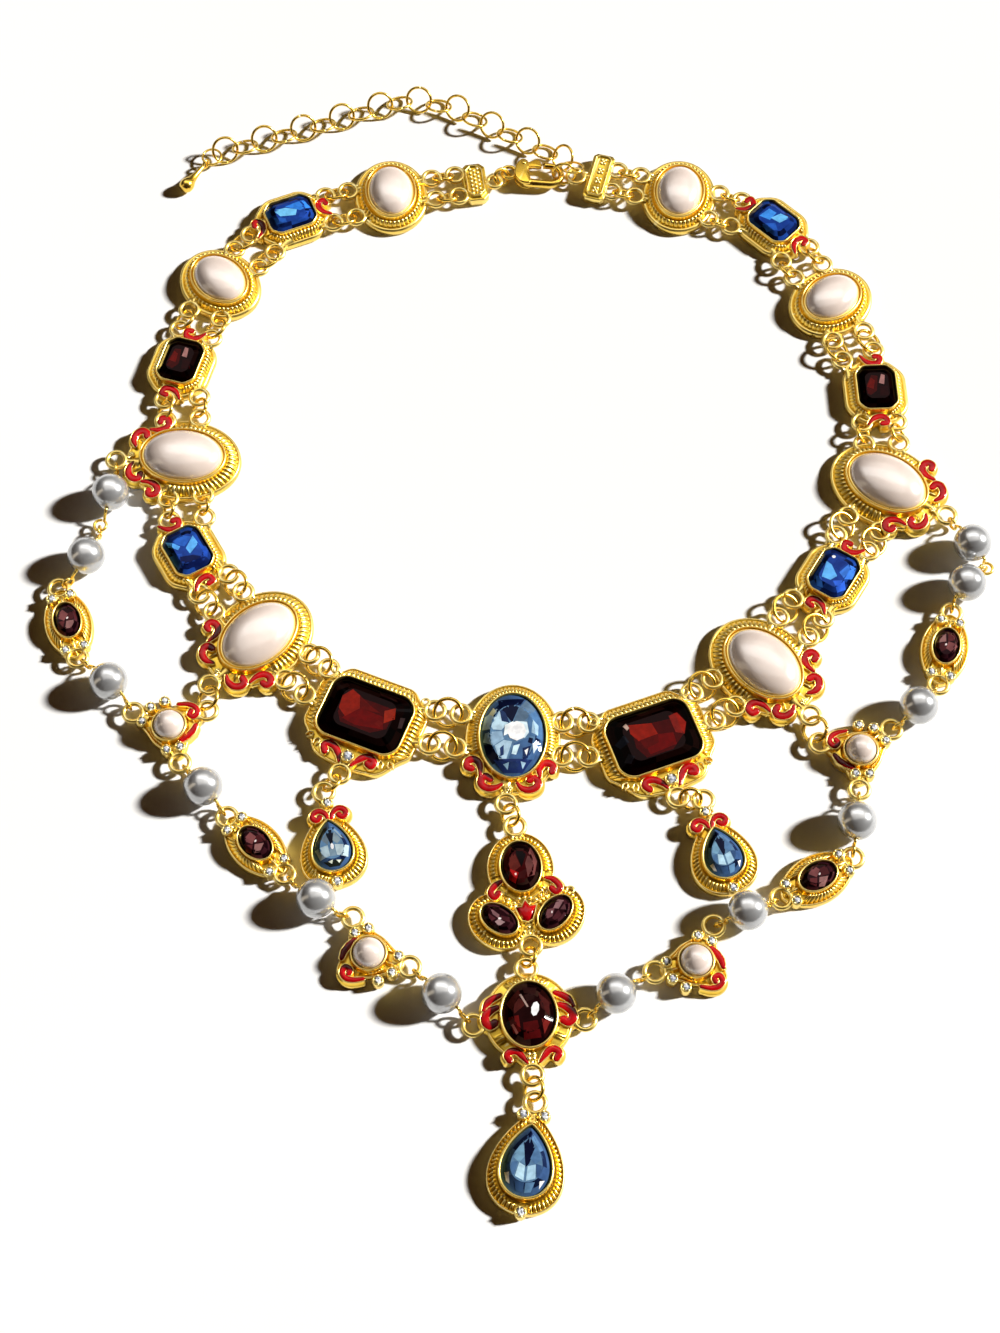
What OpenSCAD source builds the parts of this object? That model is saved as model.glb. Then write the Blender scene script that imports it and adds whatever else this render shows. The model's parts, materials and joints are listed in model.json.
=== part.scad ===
// Layered collar necklace, lying flat on a table, face up, clasp at the back.
// A collar of seventeen set stones, a swag of grey beads and small links in
// front of it, five pendants, a lobster clasp and an extender chain.
// Lengths in millimetres. +X is the wearer's left as seen from above, +Y runs to the clasp.

/* [Settings] */
// Thickness of a setting's base plate
plate_t = 1.5; // [1.2:0.1:1.8]
// Height of the first step of the ribbed border
step1_z = 2.1; // [1.9:0.1:2.3]
// Height of the second step of the ribbed border
step2_z = 2.8; // [2.6:0.1:3.0]
// Height of the bezel that holds the stone
bezel_z = 3.8; // [3.4:0.1:4.2]
// Height of the floor that a stone sits on
seat_z = 1.6; // [1.3:0.1:1.9]
// Gap all round a stone in its bezel
stone_gap = 0.05; // [0.03:0.01:0.1]
// Height of the domed top of the large pearls
pearl_top = 6.8; // [6:0.1:7.5]
// Height of the flat top of the cut stones
table_z = 4.4; // [4.1:0.1:5]

/* [Loops and rings] */
// Height of the middle of the cast loops and the rings
loop_z = 1.8; // [1.7:0.1:2]
// Radius to the middle of the wire of a cast loop
loop_r = 2; // [1.9:0.05:2.1]
// Wire radius of a cast loop
loop_w = 0.45; // [0.35:0.05:0.5]
// Largest radius to the middle of the wire of a collar jump ring
ring_r = 2.9; // [2.6:0.1:3]
// Wire radius of the jump rings
ring_w = 0.35; // [0.25:0.05:0.4]
// Distance of a cast loop's middle from the middle of a joint of the collar
loop_reach = 2.75; // [2.7:0.05:2.9]
// Sideways distance of the two rings of a collar joint from its middle
ring_side = 3.8; // [3.4:0.1:4]

/* [Beads] */
// Diameter of the grey beads
bead_d = 8; // [7:0.5:8]
// Diameter of the hole through a bead
bead_bore = 1; // [0.9:0.1:1.4]
// Wire radius of the eye pins
pin_w = 0.35; // [0.25:0.05:0.35]
// Radius to the middle of the wire of an eye
eye_r = 1.3; // [1.2:0.05:1.35]

/* [Clasp] */
// Radius to the middle of the hook of the clasp
hook_r = 2.6; // [2.5:0.05:2.8]
// Wire radius of the hook
hook_w = 0.65; // [0.5:0.05:0.65]
// Radius of the lever's pin
pin_r = 0.5; // [0.4:0.05:0.6]
// Running gap between the lever's bore and its pin
pin_gap = 0.05; // [0.03:0.01:0.08]

/* [Extender] */
// Number of links of the extender chain
link_count = 20; // [14:2:20]
// Distance between links along the extender
link_pitch = 4.8; // [4.7:0.05:4.85]
// Radius to the middle of the wire of an extender link
link_r = 2.9; // [2.85:0.05:2.95]
// Wire radius of an extender link
link_w = 0.27; // [0.2:0.01:0.28]

/* [Hidden] */

gold = [0.93, 0.72, 0.16];
// The tables are laid out from the centre stone; this moves the whole to its box's middle.
shift = [-1.88, -34.62, 0];

// ---- Kinds of collar piece: outline 0 oval, 1 octagon, 2 bar ----
// columns: outline, plate across, plate along the radius, bezel across, bezel radial,
//          stone across, stone radial, corner cut of the plate
K_SHAPE = 0; K_PX = 1; K_PY = 2; K_BX = 3; K_BY = 4; K_SX = 5; K_SY = 6; K_CUT = 7;
CENTRE  = [0, 19.8, 24.8, 15.0, 20.0, 13.4, 18.4, 0];
OCT_BIG = [1, 24.4, 19.8, 19.6, 15.0, 18.0, 13.4, 5.0];
PEARL_BIG = [0, 20.0, 25.2, 14.8, 20.0, 13.0, 18.2, 0];
OCT_SMALL = [1, 16.6, 14.2, 12.4, 10.0, 10.8, 8.4, 3.8];
PEARL_SMALL = [0, 17.2, 20.4, 12.8, 16.0, 11.0, 14.2, 0];
BAR_LEFT = [2, 5.6, 10.4, 4.0, 8.6, 0, 0, 1.2];
BAR_RIGHT = [2, 5.2, 13.0, 3.8, 11.4, 0, 0, 0.8];

// ---- The collar from the left bar round the front to the right bar ----
// columns: kind, x, y, turn, sideways place of a hanging loop, its distance (0 = none),
//          sideways distance of the rings of the joint that follows, their radius
S_KIND = 0; S_X = 1; S_Y = 2; S_TURN = 3; S_HX = 4; S_HY = 5; S_SIDE = 6; S_RING = 7;
COLLAR = [
    [BAR_LEFT,    -8.5, 141.0, -172,  0,   0,    3.0, 2.3],
    [PEARL_SMALL, -28,  137.5, -174,  0,   0,    3.8, 2.6],
    [OCT_SMALL,   -51,  131,   -158,  0,   0,    3.8, 2.9],
    [PEARL_SMALL, -66.5,113,   -137,  0,   0,    3.8, 2.5],
    [OCT_SMALL,   -74,  91,    -106,  0,   0,    3.8, 2.1],
    [PEARL_BIG,   -72,  66.5,  -95,   1.5, 14.6, 3.8, 1.8],
    [OCT_SMALL,   -69.5,43,    -60,   0,   0,    3.8, 2.6],
    [PEARL_BIG,   -53.5,23,    -46,   1,   14.6, 3.8, 2.9],
    [OCT_BIG,     -30.5,4.5,   -22,   0,   13.4, 3.8, 2.9],
    [CENTRE,      0,    0,     0,    -1.4, 14.5, 3.8, 2.9],
    [OCT_BIG,     29,   -0.5,  20,    0,   13.4, 3.8, 2.9],
    [PEARL_BIG,   52.5, 16.5,  43,   -1,   14.6, 3.8, 2.9],
    [OCT_SMALL,   68.5, 37.5,  58,    0,   0,    3.8, 2.9],
    [PEARL_BIG,   81.5, 60,    57,    0.5, 14.6, 3.8, 2.0],
    [OCT_SMALL,   81,   84,    92,    0,   0,    3.8, 2.9],
    [PEARL_SMALL, 72.5, 108,   130,   0,   0,    3.8, 2.2],
    [OCT_SMALL,   60.5, 129,   136,   0,   0,    3.8, 2.1],
    [PEARL_SMALL, 39,   137.5, 173,   0,   0,    3.0, 2.3],
    [BAR_RIGHT,   20.5, 142.5, 165,   0,   0,    3.0, 2.3]
];
// places in COLLAR of the big pearls that carry the swag, and of the pieces with pendants
L4 = 5; L2 = 7; L1 = 8; C0 = 9; R1 = 10; R2 = 11; R4 = 13;

// ---- Pendants and swag links: x, y, turn ----
SIDE_L = [-36.5, -24, 10];
SIDE_R = [42, -25.5, 15];
TREFOIL = [1.5, -28.5, 7];
MEDAL = [3, -59, 3];
DROP = [2.5, -87.5, -8];
// swag links, left then right; the triangles' last column is 1 where all three corners are loops
TRI = [[-71, 2.5, 157, -1, 1], [-28.5, -46.5, -17, -1, 0],
       [71.5, -3, 36, 1, 1], [36, -48, 194, 1, 0]];
NAV = [[-94, 26.5, -72], [-52, -23.5, -45], [91, 20.5, 76], [61, -30.5, 30]];

// loops of the pendants in their own frames
side_hole = [0, 12.2];
tre_top = [0, 9.1]; tre_low = [0, -16.2];
med_top = [0, 9.6]; med_low = [0, -11.6]; med_side = [10.9, -1.2];
drop_hole = [0, 11.6];
tri_r = 8.4;     // distance of a triangle's loops from its middle
tri_a = 131;     // angle between its outer corner and the other two
nav_r = 8.6;     // distance of a navette link's loops from its middle

// ---- Beads: x, y of the middle, left then right ----
BEADS_L = [[-87, 57], [-91, 41.5], [-84, 12], [-63, -11.5], [-39.2, -35.5], [-14, -55]];
BEADS_R = [[98.5, 44.5], [96.5, 35], [84, 6.5], [69.5, -19], [46.5, -38], [20, -55]];
// where the eyes of the first two beads meet
MEET_L = [-89, 50]; MEET_R = [101.5, 39.5];

// ---- Red enamel scrolls: x, y and start angle in each piece's frame ----
SCROLL_CENTRE = [[-7.4, -7.3, 60], [-4.6, -10.6, 200], [3.4, -10.8, 60], [7.4, -7.3, 200]];
SCROLL_OCT_BIG = [[-4.4, -9.3, 30], [4.4, -9.3, 240]];
SCROLL_PEARL = [[-7.9, -7.7, 60], [-4.1, -11.3, 200], [4.1, -11.3, 60], [7.9, -7.7, 200]];
SCROLL_OCT_SMALL = [[-7.9, 0, 120], [7.9, 0, 300]];
SCROLL_SIDE = [[-3.2, 7.2, 60], [2.0, 7.2, 200]];
SCROLL_TREFOIL = [[-5.7, -4.6, 60], [5.7, -4.6, 200]];
SCROLL_MEDAL = [[-8.1, 1.6, 30], [8.1, 1.6, 220], [-4.2, -8, 60], [4.2, -8, 200]];
SCROLL_TRI = [[-2.9, 4.7, 20], [-4.9, 1.0, 160]];

// ---- Clear crystals: x, y in each piece's frame ----
GEM_OCT_BIG = [[0, -9.8]];
GEM_SIDE = [[-0.6, 9.4], [0, -7.6]];
GEM_DROP = [[-2, 9], [2.1, 9.1], [0, -9.5]];
GEM_TRI = [[3.4, 4.6], [5.5, 2.3], [5.7, -1.3], [-4.1, -3.3], [-1.8, -5.0]];
GEM_NAV = [[-6.3, -2.0], [-6.3, 2.0], [6.3, -2.0], [6.3, 2.0]];

// ---- Route of the extender chain, in round millimetres ----
START = [14.2, 144.2, 3.4];    // the link that hangs in the clasp's ring
ROUTE = [[12.1, 147.6], [4, 152.5], [-6, 158], [-14, 163], [-24.5, 165.2],
         [-34, 162], [-43, 158.5], [-53, 155], [-63, 151.5], [-72, 148]];
CLASP = [-0.5, 144, -5];      // the clasp's eye, and its turn
hook_x = 9.6;                 // middle of the hook from the eye

// ================= functions =================
function unit(v) = v / norm(v);
function perp(v) = [-v[1], v[0]];
function heading(v) = atan2(v[1], v[0]);
function turned(p, a) = [p[0] * cos(a) - p[1] * sin(a), p[0] * sin(a) + p[1] * cos(a)];
function placed(f, p) = [f[0], f[1]] + turned(p, f[2]);
function spot(s) = [s[S_X], s[S_Y]];
function in_station(s, p) = spot(s) + turned(p, s[S_TURN]);

// outlines
function oval(w, h, n = 40) = [for (i = [0:n - 1]) [w / 2 * cos(360 * i / n), h / 2 * sin(360 * i / n)]];
function octagon(w, h, c) = [[w / 2 - c, -h / 2], [w / 2, -h / 2 + c], [w / 2, h / 2 - c], [w / 2 - c, h / 2],
    [c - w / 2, h / 2], [-w / 2, h / 2 - c], [-w / 2, c - h / 2], [c - w / 2, -h / 2]];
function pear(w, h, n = 40) = [for (i = [0:n - 1]) let (t = 360 * (i + 0.5) / n)
    [-w / 2 * sin(t) * pow(sin(t / 2), 0.7) / 0.821, h / 2 * cos(t)]];
function navette(w, h, n = 40) = [for (i = [0:n - 1]) let (t = 360 * i / n)
    [w / 2 * cos(t), h / 2 * sign(sin(t)) * pow(abs(sin(t)), 1.25)]];
function bump(a, b, s) = let (d = abs(a - b) % 360, e = min(d, 360 - d)) exp(-pow(e / s, 2));
function tri_edge(a, inset) = 4.7 - inset + 2.6 * bump(a, 0, 26) + 2.6 * bump(a, tri_a, 26) + 2.6 * bump(a, 360 - tri_a, 26);
function triangle(inset, n = 54) = [for (i = [0:n - 1]) let (a = 360 * i / n) tri_edge(a, inset) * [cos(a), sin(a)]];
function outline(shape, w, h, c) = shape == 0 ? oval(w, h) : octagon(w, h, c);

// how far a collar piece reaches from its middle in the direction a of its own frame
function reach(k, a) = k[K_SHAPE] == 0
    ? 1 / sqrt(pow(cos(a) / (k[K_PX] / 2), 2) + pow(sin(a) / (k[K_PY] / 2), 2))
    : min(k[K_PX] / 2 / max(abs(cos(a)), 0.01), k[K_PY] / 2 / max(abs(sin(a)), 0.01));
// the middle of the gap between collar pieces i and i + 1, and the direction across it
function gap_dir(i) = unit(spot(COLLAR[i + 1]) - spot(COLLAR[i]));
function gap_mid(i) = let (a = COLLAR[i], b = COLLAR[i + 1], u = gap_dir(i), d = norm(spot(b) - spot(a)),
    ra = reach(a[S_KIND], heading(u) - a[S_TURN]), rb = reach(b[S_KIND], heading(u) - b[S_TURN]))
    spot(a) + u * (ra + (d - ra - rb) / 2);
function side_of(i) = COLLAR[i][S_SIDE];

// a piece's hanging loop
function hang(i) = in_station(COLLAR[i], [COLLAR[i][S_HX], -COLLAR[i][S_HY]]);
function tri_hole(k, n) = placed(TRI[k], tri_r * [cos(n * tri_a), sin(n * tri_a)]);
function nav_hole(k, e) = placed(NAV[k], [e * nav_r, 0]);

// ring radius between two loops
function drop_ring(a, b) = min(2.6, max(1.85, norm(b - a) / 2 - 0.5));

// point at length s along a route of straight stretches
function walk(route, s, i = 0) = let (d = norm(route[i + 1] - route[i]))
    (s <= d || i == len(route) - 2) ? route[i] + (route[i + 1] - route[i]) * s / d : walk(route, s - d, i + 1);
function walk_dir(route, s) = heading(walk(route, s + 2) - walk(route, s - 2));

// ================= small shapes =================
module torus(r, w) rotate_extrude($fn = 48) translate([r, 0]) circle(r = w, $fn = 24);
// a straight wire between two points
module wire(p, q, r) {
    d = q - p;
    translate(p) rotate([0, acos(d[2] / norm(d)), heading(d)]) cylinder(r = r, h = norm(d), $fn = 24);
}
// flat cast loop at p, with a short bar that runs in direction a into its plate
module cast_loop(p, a, r = loop_r, bar = 3) {
    translate([p[0], p[1], loop_z]) torus(r, loop_w);
    translate([p[0], p[1], 0]) rotate([0, 0, a]) translate([r - 0.1, -0.6, 1.2]) cube([bar, 1.2, 0.95]);
}
// jump ring through two loops, leaning so that it clears the table
module leaning_ring(c, a, r, w = ring_w) {
    translate([c[0], c[1], loop_z]) rotate([0, 0, a]) rotate([asin(min(1, (loop_z - ring_w - 0.05) / r)), 0, 0]) torus(r, w);
}
module ring_between(a, b) leaning_ring((a + b) / 2, heading(b - a), drop_ring(a, b));

// a stepped cast plate: outline function values for plate, first step, second step, bezel
module cast_plate(shape, w, h, c, bw, bh, bc) {
    linear_extrude(plate_t) polygon(outline(shape, w, h, c));
    translate([0, 0, 0.5]) linear_extrude(step1_z - 0.5) polygon(outline(shape, w - 1.7, h - 1.7, c * 0.92));
    translate([0, 0, 0.6]) linear_extrude(step2_z - 0.6) polygon(outline(shape, w - 3.3, h - 3.3, c * 0.84));
    translate([0, 0, 0.7]) linear_extrude(bezel_z - 0.7) polygon(outline(shape, bw, bh, bc));
}
module pocket(pts) translate([0, 0, seat_z]) linear_extrude(5) polygon(pts);
// raised cell for enamel, and the hollow in it
module cell(p) translate([p[0], p[1], 0.4]) cylinder(r = 1.95, h = 2.2, $fn = 32);
module cell_hollow(p) translate([p[0], p[1], 1.9]) cylinder(r = 1.35, h = 4, $fn = 32);
module cup(p) translate([p[0], p[1], 0.45]) cylinder(r = 1.3, h = 2.4, $fn = 32);
module cup_hollow(p) translate([p[0], p[1], 2]) cylinder(r = 0.95, h = 4, $fn = 32);
// one scroll of enamel, open on one side
module scroll(p) translate([p[0], p[1], 1.95]) rotate([0, 0, p[2]])
    rotate_extrude(angle = 290, $fn = 32) translate([0.4, 0]) square([0.88, 0.75]);
module crystal(p) translate([p[0], p[1], 2.05]) {
    cylinder(r = 0.88, h = 0.65, $fn = 32);
    translate([0, 0, 0.6]) cylinder(r1 = 0.85, r2 = 0.45, h = 0.45, $fn = 32);
}

// a stone lofted through rings of one outline; rows of scale and height
module lofted(pts, rows) {
    n = len(pts); m = len(rows);
    polyhedron(
        points = [for (r = rows) for (p = pts) [p[0] * r[0], p[1] * r[0], r[1]]],
        faces = concat([[for (i = [0:n - 1]) i]],
            [for (k = [0:m - 2]) for (i = [0:n - 1]) [k * n + i, (k + 1) * n + i, (k + 1) * n + (i + 1) % n, k * n + (i + 1) % n]],
            [[for (i = [n - 1:-1:0]) (m - 1) * n + i]]), convexity = 2);
}
CUT_ROWS = [[0.6, seat_z + stone_gap], [0.98, 3.0], [1, 3.5], [0.62, table_z]];
function dome_rows() = concat([[0.94, seat_z + stone_gap], [1, 2.2], [1, 3.2]],
    [for (a = [18:18:72]) [cos(a), 3.2 + (pearl_top - 3.2) * sin(a)]], [[0.12, pearl_top]]);
function inset(v) = v - 2 * stone_gap;

// ================= collar =================
module in_frame(f) translate([f[0], f[1], 0]) rotate([0, 0, f[2]]) children();
module at_station(s) translate([s[S_X], s[S_Y], 0]) rotate([0, 0, s[S_TURN]]) children();

function scrolls_of(k) = k == CENTRE ? SCROLL_CENTRE : k == OCT_BIG ? SCROLL_OCT_BIG
    : k == PEARL_BIG ? SCROLL_PEARL : k == OCT_SMALL ? SCROLL_OCT_SMALL : [];
function gems_of(k) = k == OCT_BIG ? GEM_OCT_BIG : [];

module collar_piece(i) {
    s = COLLAR[i]; k = s[S_KIND];
    color(gold) difference() {
        union() {
            at_station(s) {
                cast_plate(k[K_SHAPE], k[K_PX], k[K_PY], k[K_CUT], k[K_BX], k[K_BY], k[K_CUT] * 0.72);
                for (p = scrolls_of(k)) cell(p);
                for (p = gems_of(k)) cup(p);
                if (k == OCT_BIG) translate([0.5, -8.8, 0]) linear_extrude(1.4) polygon(oval(20.6, 5.8));
            }
            // two loops to each neighbour
            if (i < len(COLLAR) - 1) for (e = [-1, 1])
                cast_loop(gap_mid(i) - gap_dir(i) * loop_reach + perp(gap_dir(i)) * e * side_of(i), heading(-gap_dir(i)));
            if (i > 0) for (e = [-1, 1])
                cast_loop(gap_mid(i - 1) + gap_dir(i - 1) * loop_reach + perp(gap_dir(i - 1)) * e * side_of(i - 1), heading(gap_dir(i - 1)));
            if (s[S_HY] > 0) cast_loop(hang(i), s[S_TURN] + 90);
        }
        at_station(s) {
            pocket(outline(k[K_SHAPE], k[K_SX], k[K_SY], k[K_CUT] * 0.6));
            for (p = scrolls_of(k)) cell_hollow(p);
            for (p = gems_of(k)) cup_hollow(p);
        }
    }
}
module setting_centre() collar_piece(C0);
module setting_l(n) collar_piece(C0 - n);
module setting_r(n) collar_piece(C0 + n);

// a bar that gathers the two rows of rings at an end of the collar
module bar(i, p, a, r) {
    s = COLLAR[i]; k = s[S_KIND];
    j = i == 0 ? 0 : i - 1;
    e = i == 0 ? -1 : 1;
    color(gold) union() {
        at_station(s) {
            linear_extrude(2.2) polygon(octagon(k[K_PX], k[K_PY], k[K_CUT]));
            translate([0, 0, 0.6]) linear_extrude(2.4) polygon(octagon(k[K_BX], k[K_BY], k[K_CUT]));
        }
        for (n = [-1, 1])
            cast_loop(gap_mid(j) + gap_dir(j) * e * loop_reach + perp(gap_dir(j)) * n * side_of(j), heading(gap_dir(j) * e), loop_r, 2.4);
        cast_loop(p, a, r, 2.6);
    }
}
BAR_L_HOLE = [-3.9, 141.3];
HOOK_RING = placed(CLASP, [hook_x + hook_r + 0.7, 0]);
BAR_R_HOLE = HOOK_RING + [2.8, 0];
module end_bar_l() bar(0, BAR_L_HOLE, 184, 1.6);
module end_bar_r() bar(len(COLLAR) - 1, BAR_R_HOLE, 0, loop_r);

// ================= clasp =================
PIVOT = [3.2, 2.2];
lever_low = 1.3; lever_high = 2.3;
module clasp_body() color(gold) in_frame(CLASP) difference() {
    union() {
        translate([0, 0, loop_z]) torus(1.6, loop_w);
        translate([0, 0, 0.5]) linear_extrude(2.6) polygon([[1.3, -1.1], [2.4, -3.0], [4.0, -3.6],
            [5.4, -3.3], [5.0, -1.4], [4.5, 0], [4.6, 1.4], [4.2, 3.0], [3.2, 3.5], [2.2, 3.0], [1.4, 1.3]]);
        translate([4, -hook_r, loop_z]) rotate([0, 90, 0]) cylinder(r = hook_w + 0.12, h = hook_x - 3.8, $fn = 24);
        translate([hook_x, 0, loop_z]) rotate([0, 0, -90]) rotate_extrude(angle = 180, $fn = 48)
            translate([hook_r, 0]) circle(r = hook_w, $fn = 24);
        translate([7.75, hook_r, loop_z]) rotate([0, 90, 0]) cylinder(r = hook_w + 0.12, h = 2.05, $fn = 24);
    }
    // slot for the lever, with the pin left standing in it
    difference() {
        translate([1.85, 0.45, lever_low - 0.15]) cube([6, 4, lever_high - lever_low + 0.3]);
        translate([PIVOT[0], PIVOT[1], 0]) cylinder(r = pin_r, h = 5, $fn = 32);
        translate([7.7, 0, 0]) cube([3, 6, 5]);
    }
}
module clasp_lever() color(gold) in_frame(CLASP) translate([0, 0, lever_low]) difference() {
    union() {
        translate([PIVOT[0], PIVOT[1], 0]) cylinder(r = 1.15, h = lever_high - lever_low, $fn = 32);
        linear_extrude(lever_high - lever_low) polygon([[3.2, 1.2], [4.6, 1.9], [7.4, 1.9], [7.4, 3.1],
            [6.7, 3.9], [5.6, 3.9], [4.4, 3.2], [3.2, 3.2]]);
    }
    translate([PIVOT[0], PIVOT[1], -1]) cylinder(r = pin_r + pin_gap, h = 4, $fn = 32);
}

// ================= extender =================
// the first link lies through the clasp's ring; the rest lean one way and the other in turn
start_r = 2.6;
module link(n) {
    s = max(0, n - 1) * link_pitch; p = walk(ROUTE, s); even = n % 2 == 0;
    if (n == 0) translate(START) rotate([15, 20, 125]) torus(start_r, link_w);
    else translate([p[0], p[1], even ? 1.58 : 2.57])
        rotate([even ? 25 : -50, 0, n == 1 ? 120 : walk_dir(ROUTE, s)]) torus(link_r, link_w);
}
last_link = (link_count - 2) * link_pitch;
END_RING = walk(ROUTE, last_link + 3.4);
end_ring_r = 2.2; end_ring_z = 1.6;
WEIGHT_DIR = [-0.55, -0.84];
module extender_chain() color(gold) {
    for (n = [0:link_count - 1]) link(n);
    translate([END_RING[0], END_RING[1], end_ring_z]) torus(end_ring_r, link_w);
}
// drop at the end of the extender: an eye, a tapered shank and a ball
module chain_weight() {
    e = END_RING + unit(WEIGHT_DIR) * (end_ring_r + 0.25);
    color(gold) translate([e[0], e[1], 1.6]) rotate([0, 0, heading(WEIGHT_DIR)]) {
        rotate([90, 0, 0]) torus(1, 0.35);
        translate([1.05, 0, 0.05]) rotate([0, 90, 0]) cylinder(r1 = 0.5, r2 = 1.1, h = 6, $fn = 32);
        translate([7.4, 0, 0.1]) sphere(r = 1.65, $fn = 32);
    }
}

// ================= swag =================
module triangle_link(k) {
    f = TRI[k]; m = f[3];
    function mir(p) = [p[0], p[1] * m];
    color(gold) difference() {
        union() {
            in_frame(f) {
                linear_extrude(plate_t) polygon(triangle(0));
                translate([0, 0, 0.5]) linear_extrude(step1_z + 0.1 - 0.5) polygon(triangle(0.9));
                translate([0, 0, 0.6]) cylinder(r = 4.1, h = 2.9, $fn = 48);
                for (p = GEM_TRI) cup(mir(p));
                for (p = SCROLL_TRI) translate([p[0], m * p[1], 0.4]) cylinder(r = 1.5, h = 2.2, $fn = 32);
                if (f[4] == 0) translate([tri_r * 0.72 * cos(tri_a), m * tri_r * 0.72 * sin(tri_a), 0]) cylinder(r = 2.3, h = 2, $fn = 32);
            }
            for (n = f[4] == 1 ? [-1, 0, 1] : [-m, 0])
                cast_loop(tri_hole(k, n), f[2] + n * tri_a + 180, loop_r, 1.6);
        }
        in_frame(f) {
            translate([0, 0, seat_z]) cylinder(r = 3.3, h = 5, $fn = 48);
            for (p = GEM_TRI) cup_hollow(mir(p));
            for (p = SCROLL_TRI) translate([p[0], m * p[1], 1.9]) cylinder(r = 1.0, h = 4, $fn = 32);
        }
    }
}
module navette_link(k) {
    f = NAV[k];
    color(gold) difference() {
        union() {
            in_frame(f) {
                linear_extrude(plate_t) polygon(navette(17, 10.2));
                translate([0, 0, 0.5]) linear_extrude(step2_z - 0.6) polygon(navette(14.6, 8.6));
                translate([0, 0, 0.7]) linear_extrude(bezel_z - 0.9) polygon(oval(9.4, 6.8));
                for (p = GEM_NAV) cup(p);
            }
            for (e = [-1, 1]) cast_loop(nav_hole(k, e), f[2] + 90 + 90 * e, loop_r, 1.6);
        }
        in_frame(f) {
            pocket(oval(8, 5.4));
            for (p = GEM_NAV) cup_hollow(p);
        }
    }
}

// one eye pin: bead middle g, the two points a and b that its eyes hang on,
// and whether the eye at b is the flat one that the next bead's eye holds
module eye(h, elbow, near, far) {
    d = [elbow[0] - h[0], elbow[1] - h[1]];
    r = max(near, min(far, norm(d) - 1.1));
    c = h + unit(d) * r;
    centre = [c[0], c[1], loop_z];
    up = unit(elbow - centre);
    translate(centre) rotate([0, 0, heading(d)]) rotate([90, 0, 0]) torus(eye_r, pin_w);
    wire(centre + up * eye_r, elbow, pin_w - 0.05);
}
module flat_eye(h, elbow) {
    d = [elbow[0] - h[0], elbow[1] - h[1]];
    p = h + unit(d) * eye_r;
    translate([h[0], h[1], loop_z]) torus(eye_r, pin_w);
    wire([p[0], p[1], loop_z], elbow, pin_w - 0.05);
}
module eye_pin(g, a, b, kind) {
    w = unit(b - a) * (bead_d / 2 + 0.5);
    ea = [g[0] - w[0], g[1] - w[1], bead_d / 2];
    eb = [g[0] + w[0], g[1] + w[1], bead_d / 2];
    wire(ea, eb, pin_w - 0.05);
    for (p = [ea, eb]) translate(p) rotate([90, 0, heading(b - a) + 90]) sphere(r = pin_w + 0.08, $fn = 24);
    if (kind == 2) eye(a, ea, 0.8, 1.7); else eye(a, ea, 1.6, 2.35);
    if (kind == 1) flat_eye(b, eb); else eye(b, eb, 1.6, 2.35);
}
module bead(g, a, b) color([0.62, 0.63, 0.66]) translate([g[0], g[1], bead_d / 2]) rotate([0, 90, heading(b - a)])
    rotate_extrude($fn = 64) difference() {
        circle(d = bead_d, $fn = 64);
        translate([-bead_d, -bead_d]) square([bead_d + bead_bore / 2, 2 * bead_d]);
    }
// the points that the swag's beads hang between, from the collar to the medallion
HOLES_L = [hang(L4), MEET_L, MEET_L, nav_hole(0, -1), nav_hole(0, 1), tri_hole(0, 0), tri_hole(0, 1), nav_hole(1, -1),
           nav_hole(1, 1), tri_hole(1, 1), tri_hole(1, 0), placed(MEDAL, [-med_side[0], med_side[1]])];
HOLES_R = [hang(R4), MEET_R, MEET_R, nav_hole(2, 1), nav_hole(2, -1), tri_hole(2, 0), tri_hole(2, -1), nav_hole(3, 1),
           nav_hole(3, -1), tri_hole(3, -1), tri_hole(3, 0), placed(MEDAL, med_side)];
module bead_l(n) bead(BEADS_L[n - 1], HOLES_L[2 * n - 2], HOLES_L[2 * n - 1]);
module bead_r(n) bead(BEADS_R[n - 1], HOLES_R[2 * n - 2], HOLES_R[2 * n - 1]);
module eye_pins() color(gold) for (n = [0:5]) {
    eye_pin(BEADS_L[n], HOLES_L[2 * n], HOLES_L[2 * n + 1], n == 0 ? 1 : n == 1 ? 2 : 0);
    eye_pin(BEADS_R[n], HOLES_R[2 * n], HOLES_R[2 * n + 1], n == 0 ? 1 : n == 1 ? 2 : 0);
}

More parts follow.
